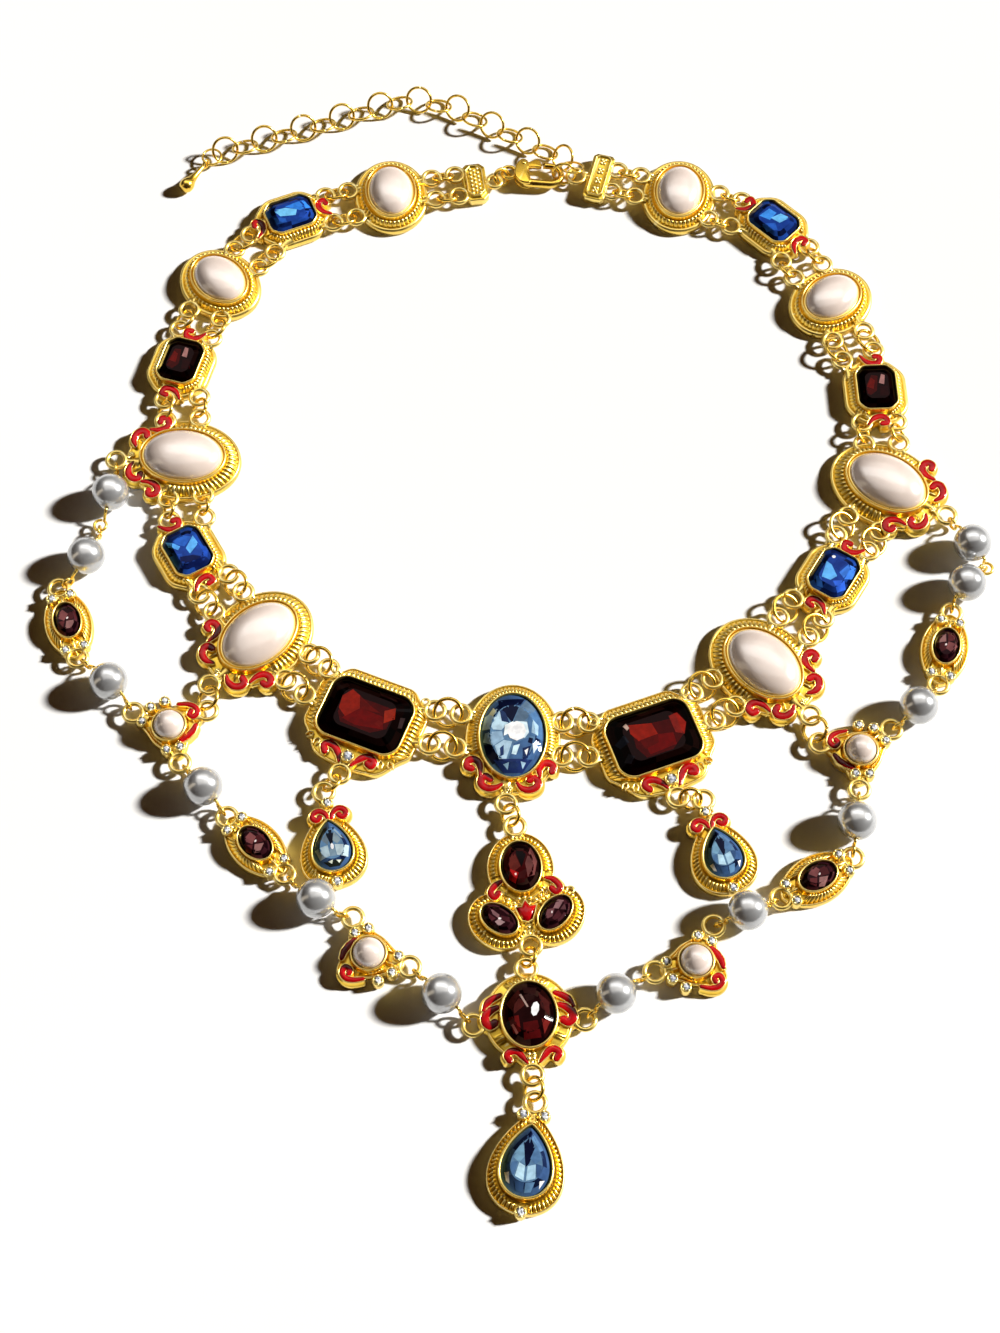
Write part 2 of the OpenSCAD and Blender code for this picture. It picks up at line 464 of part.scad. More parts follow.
// ================= pendants =================
module side_drop(f) color(gold) in_frame(f) difference() {
    union() {
        linear_extrude(plate_t) polygon(pear(13.8, 17));
        translate([0, 0, 0.5]) linear_extrude(step2_z - 0.7) polygon(pear(11.8, 14.8));
        translate([0, 0, 0.7]) linear_extrude(bezel_z - 0.9) polygon(pear(9.4, 12.2));
        for (p = SCROLL_SIDE) cell(p);
        for (p = GEM_SIDE) cup(p);
        cast_loop(side_hole, -90, loop_r, 2.4);
    }
    pocket(pear(7.9, 10.6));
    for (p = SCROLL_SIDE) cell_hollow(p);
    for (p = GEM_SIDE) cup_hollow(p);
}
module trefoil_drop() color(gold) in_frame(TREFOIL) difference() {
    union() {
        linear_extrude(plate_t) polygon(oval(13.6, 15.6));
        translate([0, 0, 0.5]) linear_extrude(1.7) polygon(oval(11.8, 13.8));
        translate([0, 0, 0.7]) linear_extrude(bezel_z - 0.9) polygon(oval(9.4, 11.8));
        for (e = [-1, 1]) translate([e * 5.6, -10.4, 0]) rotate([0, 0, e * 42]) {
            linear_extrude(plate_t) polygon(oval(13.2, 11.4));
            translate([0, 0, 0.55]) linear_extrude(1.6) polygon(oval(11.6, 9.8));
            translate([0, 0, 0.75]) linear_extrude(bezel_z - 1.1) polygon(oval(9.4, 6.6));
        }
        translate([-4, -12, 0.3]) cube([8, 8, 2]);
        for (p = SCROLL_TREFOIL) cell(p);
        translate([0, -9.2, 0.45]) cylinder(r = 1.9, h = 2.2, $fn = 32);
        cast_loop(tre_top, -90, loop_r, 2);
        cast_loop(tre_low, 90, loop_r, 2.4);
    }
    pocket(oval(7.9, 10.3));
    for (e = [-1, 1]) translate([e * 5.6, -10.4, 0]) rotate([0, 0, e * 42]) pocket(oval(8, 5.1));
    for (p = SCROLL_TREFOIL) cell_hollow(p);
    translate([0, -9.2, 1.9]) rotate([0, 0, 90]) cylinder(r = 1.45, h = 4, $fn = 5);
}
module medallion() color(gold) in_frame(MEDAL) difference() {
    union() {
        linear_extrude(plate_t) polygon(oval(17.6, 18));
        translate([0, 0, 0.5]) linear_extrude(1.7) polygon(oval(15.8, 16.2));
        translate([0, 0, 0.7]) linear_extrude(bezel_z - 0.7) polygon(oval(11.9, 14.2));
        for (p = SCROLL_MEDAL) cell(p);
        cast_loop(med_top, -90, loop_r, 2);
        cast_loop(med_low, 90, loop_r, 2);
        for (e = [-1, 1]) cast_loop([e * med_side[0], med_side[1]], 90 + 90 * e, loop_r, 1.6);
    }
    pocket(oval(10.4, 12.7));
    for (p = SCROLL_MEDAL) cell_hollow(p);
}
module end_drop() color(gold) in_frame(DROP) difference() {
    union() {
        linear_extrude(plate_t) polygon(pear(15, 20));
        translate([0, 0, 0.5]) linear_extrude(step2_z - 0.7) polygon(pear(13.2, 18));
        translate([0, 0, 0.7]) linear_extrude(bezel_z - 0.7) polygon(pear(11.2, 15));
        for (p = GEM_DROP) cup(p);
        cast_loop(drop_hole, -90, loop_r, 2);
    }
    pocket(pear(9.6, 13.4));
    for (p = GEM_DROP) cup_hollow(p);
}

// ================= stones =================
module collar_stones(kind) for (s = COLLAR) if (s[S_KIND] == kind) at_station(s)
    lofted(outline(kind[K_SHAPE], inset(kind[K_SX]), inset(kind[K_SY]), kind[K_CUT] * 0.6),
        kind == PEARL_BIG || kind == PEARL_SMALL ? dome_rows() : CUT_ROWS);
module pearl_cabochons() color([0.96, 0.9, 0.85]) {
    collar_stones(PEARL_BIG);
    collar_stones(PEARL_SMALL);
}
module small_pearls() color([0.96, 0.9, 0.85]) for (f = TRI) in_frame(f) {
    translate([0, 0, 1.65]) cylinder(r = 3.2, h = 1.4, $fn = 48);
    translate([0, 0, 2.9]) intersection() {
        sphere(r = 3.23, $fn = 48);
        translate([-5, -5, 0]) cube([10, 10, 5]);
    }
}
module garnet_octagons() color([0.35, 0.05, 0.05]) {
    collar_stones(OCT_BIG);
    for (i = [4, 14]) at_station(COLLAR[i])
        lofted(octagon(inset(10.8), inset(8.4), 3.8 * 0.6), CUT_ROWS);
}
module blue_octagons() color([0.08, 0.2, 0.6]) for (i = [2, 6, 12, 16]) at_station(COLLAR[i])
    lofted(octagon(inset(10.8), inset(8.4), 3.8 * 0.6), CUT_ROWS);
module aqua_stones() color([0.5, 0.68, 0.85]) {
    collar_stones(CENTRE);
    for (f = [SIDE_L, SIDE_R]) in_frame(f) lofted(pear(inset(7.9), inset(10.6), 24), CUT_ROWS);
    in_frame(DROP) lofted(pear(inset(9.6), inset(13.4), 24), CUT_ROWS);
}
module garnet_ovals() color([0.3, 0.04, 0.06]) {
    in_frame(TREFOIL) lofted(oval(inset(7.9), inset(10.3), 24), CUT_ROWS);
    in_frame(MEDAL) lofted(oval(inset(10.4), inset(12.7), 24), CUT_ROWS);
}
module amethyst_ovals() color([0.4, 0.2, 0.3]) {
    in_frame(TREFOIL) for (e = [-1, 1]) translate([e * 5.6, -10.4, 0]) rotate([0, 0, e * 42])
        lofted(oval(inset(8), inset(5.1), 24), CUT_ROWS);
    for (f = NAV) in_frame(f) lofted(oval(inset(8), inset(5.4), 24), CUT_ROWS);
}
module clear_crystals() color([0.9, 0.92, 0.96]) {
    for (i = [L1, R1]) at_station(COLLAR[i]) for (p = GEM_OCT_BIG) crystal(p);
    for (f = [SIDE_L, SIDE_R]) in_frame(f) for (p = GEM_SIDE) crystal(p);
    in_frame(DROP) for (p = GEM_DROP) crystal(p);
    for (f = TRI) in_frame(f) for (p = GEM_TRI) crystal([p[0], p[1] * f[3]]);
    for (f = NAV) in_frame(f) for (p = GEM_NAV) crystal(p);
}
module red_enamel() color([0.75, 0.05, 0.08]) {
    for (s = COLLAR) at_station(s) for (p = scrolls_of(s[S_KIND])) scroll(p);
    for (f = [SIDE_L, SIDE_R]) in_frame(f) for (p = SCROLL_SIDE) scroll(p);
    in_frame(TREFOIL) {
        for (p = SCROLL_TREFOIL) scroll(p);
        translate([0, -9.2, 1.95]) rotate([0, 0, 90]) cylinder(r = 1.38, h = 0.75, $fn = 5);
    }
    in_frame(MEDAL) for (p = SCROLL_MEDAL) scroll(p);
    for (f = TRI) in_frame(f) for (p = SCROLL_TRI) translate([p[0], p[1] * f[3], 1.95]) cylinder(r = 0.93, h = 0.75, $fn = 32);
}

// ================= rings =================
module jump_rings() color(gold) {
    for (i = [0:len(COLLAR) - 2]) for (e = [-1, 1])
        leaning_ring(gap_mid(i) + perp(gap_dir(i)) * e * side_of(i), heading(gap_dir(i)), min(COLLAR[i][S_RING], ring_r));
    ring_between(hang(C0), placed(TREFOIL, tre_top));
    ring_between(placed(TREFOIL, tre_low), placed(MEDAL, med_top));
    ring_between(placed(MEDAL, med_low), placed(DROP, drop_hole));
    ring_between(hang(L1), placed(SIDE_L, side_hole));
    ring_between(hang(R1), placed(SIDE_R, side_hole));
    ring_between(hang(L2), tri_hole(0, -1));
    ring_between(hang(R2), tri_hole(2, 1));
    ring_between(BAR_L_HOLE, [CLASP[0], CLASP[1]]);
    translate([HOOK_RING[0], HOOK_RING[1], 2.84]) rotate([0, 0, CLASP[2]]) rotate([70, 0, 0]) torus(2.6, ring_w);
}

// ================= what is drawn =================
translate(shift) setting_centre();
translate(shift) setting_l(1);  // setting_l1
translate(shift) setting_l(2);  // setting_l2
translate(shift) setting_l(3);  // setting_l3
translate(shift) setting_l(4);  // setting_l4
translate(shift) setting_l(5);  // setting_l5
translate(shift) setting_l(6);  // setting_l6
translate(shift) setting_l(7);  // setting_l7
translate(shift) setting_l(8);  // setting_l8
translate(shift) setting_r(1);  // setting_r1
translate(shift) setting_r(2);  // setting_r2
translate(shift) setting_r(3);  // setting_r3
translate(shift) setting_r(4);  // setting_r4
translate(shift) setting_r(5);  // setting_r5
translate(shift) setting_r(6);  // setting_r6
translate(shift) setting_r(7);  // setting_r7
translate(shift) setting_r(8);  // setting_r8
translate(shift) end_bar_l();
translate(shift) end_bar_r();
translate(shift) clasp_body();
translate(shift) clasp_lever();
translate(shift) extender_chain();
translate(shift) chain_weight();
translate(shift) triangle_link(0);  // triangle_l1
translate(shift) triangle_link(1);  // triangle_l2
translate(shift) triangle_link(2);  // triangle_r1
translate(shift) triangle_link(3);  // triangle_r2
translate(shift) navette_link(0);  // navette_l1
translate(shift) navette_link(1);  // navette_l2
translate(shift) navette_link(2);  // navette_r1
translate(shift) navette_link(3);  // navette_r2
translate(shift) side_drop(SIDE_L);  // side_drop_l
translate(shift) side_drop(SIDE_R);  // side_drop_r
translate(shift) trefoil_drop();
translate(shift) medallion();
translate(shift) end_drop();
translate(shift) bead_l(1);  // bead_l1
translate(shift) bead_l(2);  // bead_l2
translate(shift) bead_l(3);  // bead_l3
translate(shift) bead_l(4);  // bead_l4
translate(shift) bead_l(5);  // bead_l5
translate(shift) bead_l(6);  // bead_l6
translate(shift) bead_r(1);  // bead_r1
translate(shift) bead_r(2);  // bead_r2
translate(shift) bead_r(3);  // bead_r3
translate(shift) bead_r(4);  // bead_r4
translate(shift) bead_r(5);  // bead_r5
translate(shift) bead_r(6);  // bead_r6
translate(shift) pearl_cabochons();
translate(shift) small_pearls();
translate(shift) garnet_octagons();
translate(shift) blue_octagons();
translate(shift) aqua_stones();
translate(shift) garnet_ovals();
translate(shift) amethyst_ovals();
translate(shift) clear_crystals();
translate(shift) red_enamel();
translate(shift) jump_rings();
translate(shift) eye_pins();
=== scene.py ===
import bpy
import json
import math
import numpy as np
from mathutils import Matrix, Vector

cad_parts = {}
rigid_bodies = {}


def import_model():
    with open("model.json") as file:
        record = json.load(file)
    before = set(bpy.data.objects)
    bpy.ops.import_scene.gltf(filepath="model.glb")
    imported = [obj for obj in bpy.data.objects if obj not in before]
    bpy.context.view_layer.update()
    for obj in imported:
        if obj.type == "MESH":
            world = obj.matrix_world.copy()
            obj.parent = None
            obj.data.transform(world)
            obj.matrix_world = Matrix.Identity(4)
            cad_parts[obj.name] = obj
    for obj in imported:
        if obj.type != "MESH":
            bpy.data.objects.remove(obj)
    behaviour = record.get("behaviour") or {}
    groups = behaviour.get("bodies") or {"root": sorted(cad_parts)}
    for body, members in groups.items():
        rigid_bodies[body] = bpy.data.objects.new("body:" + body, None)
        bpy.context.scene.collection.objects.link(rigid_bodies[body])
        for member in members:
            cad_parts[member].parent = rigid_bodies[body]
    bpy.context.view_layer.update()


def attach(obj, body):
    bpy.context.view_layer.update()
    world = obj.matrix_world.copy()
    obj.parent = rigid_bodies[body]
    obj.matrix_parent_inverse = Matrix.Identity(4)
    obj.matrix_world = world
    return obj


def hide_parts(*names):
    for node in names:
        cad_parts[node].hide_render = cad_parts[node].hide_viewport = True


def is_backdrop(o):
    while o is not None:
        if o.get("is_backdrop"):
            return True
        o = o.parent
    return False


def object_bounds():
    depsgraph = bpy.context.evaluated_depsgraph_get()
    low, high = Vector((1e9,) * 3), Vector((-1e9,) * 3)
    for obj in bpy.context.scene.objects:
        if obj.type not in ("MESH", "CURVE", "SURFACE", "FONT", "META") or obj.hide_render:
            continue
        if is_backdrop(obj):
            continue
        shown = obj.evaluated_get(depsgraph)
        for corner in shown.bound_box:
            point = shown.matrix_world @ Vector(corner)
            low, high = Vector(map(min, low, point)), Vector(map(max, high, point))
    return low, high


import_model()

MM = 0.001
SHIFT = np.array([-1.88, -34.62, 0.0])
BODY = "necklace"

# ---------------------------------------------------------------- tables
# kind: outline (0 oval, 1 octagon), plate across, plate radial, bezel across, bezel radial,
# stone across, stone radial, corner cut of the plate
CENTRE = (0, 19.8, 24.8, 15.0, 20.0, 13.4, 18.4, 0)
OCT_BIG = (1, 24.4, 19.8, 19.6, 15.0, 18.0, 13.4, 5.0)
PEARL_BIG = (0, 20.0, 25.2, 14.8, 20.0, 13.0, 18.2, 0)
OCT_SMALL = (1, 16.6, 14.2, 12.4, 10.0, 10.8, 8.4, 3.8)
PEARL_SMALL = (0, 17.2, 20.4, 12.8, 16.0, 11.0, 14.2, 0)
BAR_LEFT = (2, 5.6, 10.4, 4.0, 8.6, 0, 0, 1.2)
BAR_RIGHT = (2, 5.2, 13.0, 3.8, 11.4, 0, 0, 0.8)

# kind, x, y, turn, sideways place of the hanging loop, its distance, side of the next rings, their radius
COLLAR = [
    (BAR_LEFT, -8.5, 141.0, -172, 0, 0, 3.0, 2.3),
    (PEARL_SMALL, -28, 137.5, -174, 0, 0, 3.8, 2.6),
    (OCT_SMALL, -51, 131, -158, 0, 0, 3.8, 2.9),
    (PEARL_SMALL, -66.5, 113, -137, 0, 0, 3.8, 2.5),
    (OCT_SMALL, -74, 91, -106, 0, 0, 3.8, 2.1),
    (PEARL_BIG, -72, 66.5, -95, 1.5, 14.6, 3.8, 1.8),
    (OCT_SMALL, -69.5, 43, -60, 0, 0, 3.8, 2.6),
    (PEARL_BIG, -53.5, 23, -46, 1, 14.6, 3.8, 2.9),
    (OCT_BIG, -30.5, 4.5, -22, 0, 13.4, 3.8, 2.9),
    (CENTRE, 0, 0, 0, -1.4, 14.5, 3.8, 2.9),
    (OCT_BIG, 29, -0.5, 20, 0, 13.4, 3.8, 2.9),
    (PEARL_BIG, 52.5, 16.5, 43, -1, 14.6, 3.8, 2.9),
    (OCT_SMALL, 68.5, 37.5, 58, 0, 0, 3.8, 2.9),
    (PEARL_BIG, 81.5, 60, 57, 0.5, 14.6, 3.8, 2.0),
    (OCT_SMALL, 81, 84, 92, 0, 0, 3.8, 2.9),
    (PEARL_SMALL, 72.5, 108, 130, 0, 0, 3.8, 2.2),
    (OCT_SMALL, 60.5, 129, 136, 0, 0, 3.8, 2.1),
    (PEARL_SMALL, 39, 137.5, 173, 0, 0, 3.0, 2.3),
    (BAR_RIGHT, 20.5, 142.5, 165, 0, 0, 3.0, 2.3),
]
L4, L2, L1, C0, R1, R2, R4 = 5, 7, 8, 9, 10, 11, 13
SIDE_L = (-36.5, -24, 10)
SIDE_R = (42, -25.5, 15)
TREFOIL = (1.5, -28.5, 7)
MEDAL = (3, -59, 3)
DROP = (2.5, -87.5, -8)
TRI = [(-71, 2.5, 157, -1, 1), (-28.5, -46.5, -17, -1, 0), (71.5, -3, 36, 1, 1), (36, -48, 194, 1, 0)]
NAV = [(-94, 26.5, -72), (-52, -23.5, -45), (91, 20.5, 76), (61, -30.5, 30)]
SIDE_HOLE = (0, 12.2)
TRE_TOP, TRE_LOW = (0, 9.1), (0, -16.2)
MED_TOP, MED_LOW, MED_SIDE = (0, 9.6), (0, -11.6), (10.9, -1.2)
DROP_HOLE = (0, 11.6)
TRI_R, TRI_A, NAV_R = 8.4, 131, 8.6
BEADS_L = [(-87, 57), (-91, 41.5), (-84, 12), (-63, -11.5), (-39.2, -35.5), (-14, -55)]
BEADS_R = [(98.5, 44.5), (96.5, 35), (84, 6.5), (69.5, -19), (46.5, -38), (20, -55)]
MEET_L, MEET_R = (-89, 50), (101.5, 39.5)
START = (14.2, 144.2, 3.4)
ROUTE = [(12.1, 147.6), (4, 152.5), (-6, 158), (-14, 163), (-24.5, 165.2),
         (-34, 162), (-43, 158.5), (-53, 155), (-63, 151.5), (-72, 148)]
CLASP = (-0.5, 144, -5)
HOOK_X, HOOK_R, HOOK_W = 9.6, 2.6, 0.65
PIVOT = (3.2, 2.2)
LOOP_Z, LOOP_R, LOOP_W, RING_W = 1.8, 2.0, 0.45, 0.35
LOOP_REACH = 2.75
LINKS, LINK_PITCH, LINK_R, LINK_W, START_R = 20, 4.8, 2.9, 0.27, 2.6
BEAD_D, PIN_W, EYE_R = 8.0, 0.35, 1.3
BEZEL_Z, TABLE_Z, PEARL_TOP = 3.8, 4.4, 6.8


# ---------------------------------------------------------------- plane geometry
def rot2(p, a):
    p = np.asarray(p, float)
    c, s = math.cos(math.radians(a)), math.sin(math.radians(a))
    return np.stack([p[..., 0] * c - p[..., 1] * s, p[..., 0] * s + p[..., 1] * c], -1)


def placed(f, p):
    return np.array(f[:2], float) + rot2(p, f[2])


def unit(v):
    v = np.asarray(v, float)
    return v / np.linalg.norm(v)


def perp(v):
    return np.array([-v[1], v[0]])


def heading(v):
    return math.degrees(math.atan2(v[1], v[0]))


def station(i):
    return COLLAR[i][1:4]


def reach(k, a):
    ca, sa = abs(math.cos(math.radians(a))), abs(math.sin(math.radians(a)))
    if k[0] == 0:
        return 1 / math.hypot(ca / (k[1] / 2), sa / (k[2] / 2))
    return min(k[1] / 2 / max(ca, 0.01), k[2] / 2 / max(sa, 0.01))


def gap(i):
    """middle of the joint between collar pieces i and i + 1, and its direction"""
    a, b = COLLAR[i], COLLAR[i + 1]
    pa, pb = np.array(a[1:3], float), np.array(b[1:3], float)
    d = np.linalg.norm(pb - pa)
    u = (pb - pa) / d
    ra, rb = reach(a[0], heading(u) - a[3]), reach(b[0], heading(u) - b[3])
    return pa + u * (ra + (d - ra - rb) / 2), u


def hang(i):
    return placed(station(i), (COLLAR[i][4], -COLLAR[i][5]))


def tri_hole(k, n):
    a = math.radians(n * TRI_A)
    return placed(TRI[k], (TRI_R * math.cos(a), TRI_R * math.sin(a)))


def nav_hole(k, e):
    return placed(NAV[k], (e * NAV_R, 0))


def drop_ring(a, b):
    return min(2.6, max(1.85, np.linalg.norm(b - a) / 2 - 0.5))


def walk(route, s):
    for i in range(len(route) - 1):
        a, b = np.array(route[i], float), np.array(route[i + 1], float)
        d = np.linalg.norm(b - a)
        if s <= d or i == len(route) - 2:
            return a + (b - a) * s / d
        s -= d


def normals(c):
    t = np.roll(c, -1, 0) - np.roll(c, 1, 0)
    t /= np.maximum(np.linalg.norm(t, axis=1), 1e-9)[:, None]
    return np.stack([t[:, 1], -t[:, 0]], 1)


def off(c, d):
    return c + normals(c) * d


def arc_length(c):
    d = np.linalg.norm(np.roll(c, -1, 0) - c, axis=1)
    return np.concatenate([[0], np.cumsum(d)[:-1]]), d.sum()


def oval(w, h, n):
    t = np.arange(n) * 2 * math.pi / n
    return np.stack([w / 2 * np.cos(t), h / 2 * np.sin(t)], 1)


def pear(w, h, n):
    t = 2 * math.pi * (np.arange(n) + 0.5) / n
    return np.stack([-w / 2 * np.sin(t) * np.sin(t / 2) ** 0.7 / 0.821, h / 2 * np.cos(t)], 1)


def navette(w, h, n):
    t = np.arange(n) * 2 * math.pi / n
    return np.stack([w / 2 * np.cos(t), h / 2 * np.sign(np.sin(t)) * np.abs(np.sin(t)) ** 1.25], 1)


def tri_curve(inset, n):
    a = np.arange(n) * 360.0 / n

    def bump(b):
        d = np.abs(a - b) % 360
        e = np.minimum(d, 360 - d)
        return np.exp(-(e / 26) ** 2)
    r = 4.7 - inset + 2.6 * (bump(0) + bump(TRI_A) + bump(360 - TRI_A))
    a = np.radians(a)
    return np.stack([r * np.cos(a), r * np.sin(a)], 1)


def oct_curve(w, h, c, r, n):
    """octagon with rounded corners; equal n gives points that answer to each other"""
    a, b = w / 2, h / 2
    d = a + b - c
    r = min(r, (min(a, b) - c) / 0.42)
    a, b, d = a - r, b - r, d - r * math.sqrt(2)
    s, t = d - a, d - b
    q = [(a, s), (t, b), (-t, b), (-a, s), (-a, -s), (-t, -b), (t, -b), (a, -s)]
    per = n // 8
    arc = max(3, per // 3)
    pts = []
    for k in range(8):
        for j in range(arc):
            x = math.radians(45 * k + 45 * j / (arc - 1))
            pts.append((q[k][0] + r * math.cos(x), q[k][1] + r * math.sin(x)))
        x = math.radians(45 * k + 45)
        p0 = np.array([q[k][0] + r * math.cos(x), q[k][1] + r * math.sin(x)])
        e = q[(k + 1) % 8]
        p1 = np.array([e[0] + r * math.cos(x), e[1] + r * math.sin(x)])
        m = per - arc
        for j in range(1, m + 1):
            pts.append(tuple(p0 + (p1 - p0) * j / (m + 1)))
    return np.array(pts)


DENSE = 3200        # points of a fine outline, before it is thinned to its ribs


def smoothstep(a, b, x):
    t = np.clip((x - a) / (b - a), 0, 1)
    return t * t * (3 - 2 * t)


# ---------------------------------------------------------------- mesh maker
def grid_faces(m, n, closed=True, closed_m=False):
    i = np.arange(m if closed_m else m - 1)[:, None]
    j = np.arange(n if closed else n - 1)[None, :]
    a = i * n + j
    b = i * n + (j + 1) % n
    c = ((i + 1) % m) * n + (j + 1) % n
    d = ((i + 1) % m) * n + j
    return np.stack([a, d, c, b], -1).reshape(-1, 4)


class Piece:
    def __init__(self, name):
        self.name = name
        self.V, self.L, self.S, self.M, self.F, self.C = [], [], [], [], [], []
        self.n = 0
        self.frame = (0, 0, 0)

    def at(self, f):
        self.frame = f
        return self

    def add(self, v, faces, mat=0, smooth=True, tone=(1, 1, 1)):
        v = np.array(v, float).reshape(-1, 3)
        v[:, :2] = rot2(v[:, :2], self.frame[2]) + np.array(self.frame[:2], float)
        if isinstance(faces, np.ndarray):
            faces = [faces]
        for f in faces:
            f = np.asarray(f)
            self.L.append((f + self.n).ravel())
            self.S.append(np.full(len(f), f.shape[1]))
            self.M.append(np.full(len(f), mat))
            self.F.append(np.full(len(f), smooth))
        tone = np.asarray(tone, float)
        self.C.append(np.tile(tone, (len(v), 1)) if tone.ndim == 1 else tone)
        self.V.append(v)
        self.n += len(v)

    def rings(self, rows, mat=0, smooth=True, closed=True, cap_first=False, cap_last=False, tone=(1, 1, 1)):
        rows = [np.asarray(r, float) for r in rows]
        n = len(rows[0])
        f = [grid_faces(len(rows), n, closed)]
        if cap_first:
            f.append(np.arange(n)[None, :])
        if cap_last:
            f.append((np.arange(n)[::-1] + (len(rows) - 1) * n)[None, :])
        self.add(np.concatenate(rows), f, mat, smooth, tone)

    def torus(self, c, r, w, turn=(0, 0, 0), nu=40, nv=10, gap_deg=0, gap_at=0, mat=0, squash=1.0):
        """turn: roll about x, pitch about y, heading, in degrees"""
        m = spin(turn)
        v = np.arange(nv) * 2 * math.pi / nv
        if gap_deg:
            u = np.radians(np.linspace(gap_at + gap_deg / 2, gap_at + 360 - gap_deg / 2, nu))
        else:
            u = np.arange(nu) * 2 * math.pi / nu
        U, W = np.meshgrid(u, v, indexing="ij")
        p = np.stack([(r + w * np.cos(W)) * np.cos(U), (r + w * np.cos(W)) * np.sin(U), w * squash * np.sin(W)], -1)
        p = p.reshape(-1, 3) @ m.T + np.array(c, float)
        f = [grid_faces(nu, nv, True, not gap_deg)]
        if gap_deg:
            f += [np.arange(nv)[None, :], (np.arange(nv)[::-1] + (nu - 1) * nv)[None, :]]
        self.add(p, f, mat)

    def tube(self, path, w, nv=10, closed=False, mat=0, caps=True, flat=1.0):
        path = np.asarray(path, float)
        n = len(path)
        w = np.full(n, w) if np.isscalar(w) else np.asarray(w, float)
        t = np.roll(path, -1, 0) - np.roll(path, 1, 0) if closed else np.gradient(path, axis=0)
        t /= np.maximum(np.linalg.norm(t, axis=1), 1e-9)[:, None]
        up = np.array([0, 0, 1.0]) if abs(t[0][2]) < 0.9 else np.array([1.0, 0, 0])
        N = np.cross(up, t[0]); N /= np.linalg.norm(N)
        rows = []
        v = np.arange(nv) * 2 * math.pi / nv
        for i in range(n):
            N = N - t[i] * N.dot(t[i]); N /= np.linalg.norm(N)
            B = np.cross(t[i], N)
            rows.append(path[i] + w[i] * (np.cos(v)[:, None] * N - flat * np.sin(v)[:, None] * B))
        f = [grid_faces(n, nv, True, closed)]
        if caps and not closed:
            f += [np.arange(nv)[None, :], (np.arange(nv)[::-1] + (n - 1) * nv)[None, :]]
        self.add(np.concatenate(rows), f, mat)

    def ball(self, c, r, nu=10, nv=6, mat=0, flat=1.0, tone=(1, 1, 1)):
        rows = []
        for k in range(1, nv):
            a = math.pi * k / nv
            o = oval(2 * r * math.sin(a), 2 * r * math.sin(a), nu)
            rows.append(np.column_stack([o[:, 0] + c[0], o[:, 1] + c[1], np.full(nu, c[2] + r * flat * math.cos(a))]))
        self.rings(rows, mat, cap_first=True, cap_last=True, tone=tone)

    def ribbon(self, path, w, section, mat=0, tone=(1, 1, 1)):
        """section: rows of (sideways as a part of half the width, sideways in mm, height)"""
        path = np.asarray(path, float)
        w = np.asarray(w, float)
        t = np.gradient(path, axis=0)
        t /= np.maximum(np.linalg.norm(t, axis=1), 1e-9)[:, None]
        left = np.stack([-t[:, 1], t[:, 0]], 1)
        rows = []
        for i in range(len(path)):
            h = w[i] / 2
            r = []
            for s, e, z in section:
                x = s * h + e * min(1, h / 0.35)
                r.append((*(path[i] + left[i] * x), z))
            rows.append(np.array(r))
        self.rings(rows, mat, closed=False, tone=tone)

    def build(self, mats, slot, nodes=(), body=BODY):
        me = bpy.data.meshes.new(self.name)
        v = (np.concatenate(self.V) + SHIFT) * MM
        loops, sizes = np.concatenate(self.L), np.concatenate(self.S)
        me.vertices.add(len(v))
        me.vertices.foreach_set("co", v.ravel())
        me.loops.add(len(loops))
        me.loops.foreach_set("vertex_index", loops.astype(np.int32))
        me.polygons.add(len(sizes))
        me.polygons.foreach_set("loop_start", np.concatenate([[0], np.cumsum(sizes)[:-1]]).astype(np.int32))
        me.polygons.foreach_set("material_index", np.concatenate(self.M).astype(np.int32))
        me.polygons.foreach_set("use_smooth", np.concatenate(self.F).astype(bool))
        for m in mats:
            me.materials.append(m)
        col = me.color_attributes.new("Tone", "FLOAT_COLOR", "POINT")
        c = np.concatenate(self.C)
        col.data.foreach_set("color", np.column_stack([c, np.ones(len(c))]).ravel())
        me.update(calc_edges=True)
        me.validate()
        o = bpy.data.objects.new(self.name, me)
        bpy.context.scene.collection.objects.link(o)
        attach(o, body)
        if nodes:
            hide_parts(*nodes)
        TRIS[self.name] = int((sizes - 2).sum())
        return o


TRIS = {}


def spin(turn):
    r, p, h = (math.radians(x) for x in turn)
    rz = np.array([[math.cos(h), -math.sin(h), 0], [math.sin(h), math.cos(h), 0], [0, 0, 1]])
    ry = np.array([[math.cos(p), 0, math.sin(p)], [0, 1, 0], [-math.sin(p), 0, math.cos(p)]])
    rx = np.array([[1, 0, 0], [0, math.cos(r), -math.sin(r)], [0, math.sin(r), math.cos(r)]])
    return rz @ ry @ rx


def z3(c, z):
    return np.column_stack([c, np.full(len(c), z) if np.isscalar(z) else z])


# ---------------------------------------------------------------- materials
def material(name):
    m = bpy.data.materials.new(name)
    m.use_nodes = True
    nt = m.node_tree
    b = next(n for n in nt.nodes if n.type == "BSDF_PRINCIPLED")
    return m, nt, b


def node(nt, kind, **values):
    n = nt.nodes.new(kind)
    for k, v in values.items():
        if hasattr(n, k):
            setattr(n, k, v)
        else:
            n.inputs[k].default_value = v
    return n


def noise(nt, scale, detail=3.0, rough=0.5):
    co = node(nt, "ShaderNodeTexCoord")
    n = node(nt, "ShaderNodeTexNoise")
    n.inputs["Scale"].default_value = scale
    n.inputs["Detail"].default_value = detail
    n.inputs["Roughness"].default_value = rough
    nt.links.new(co.outputs["Object"], n.inputs["Vector"])
    return n


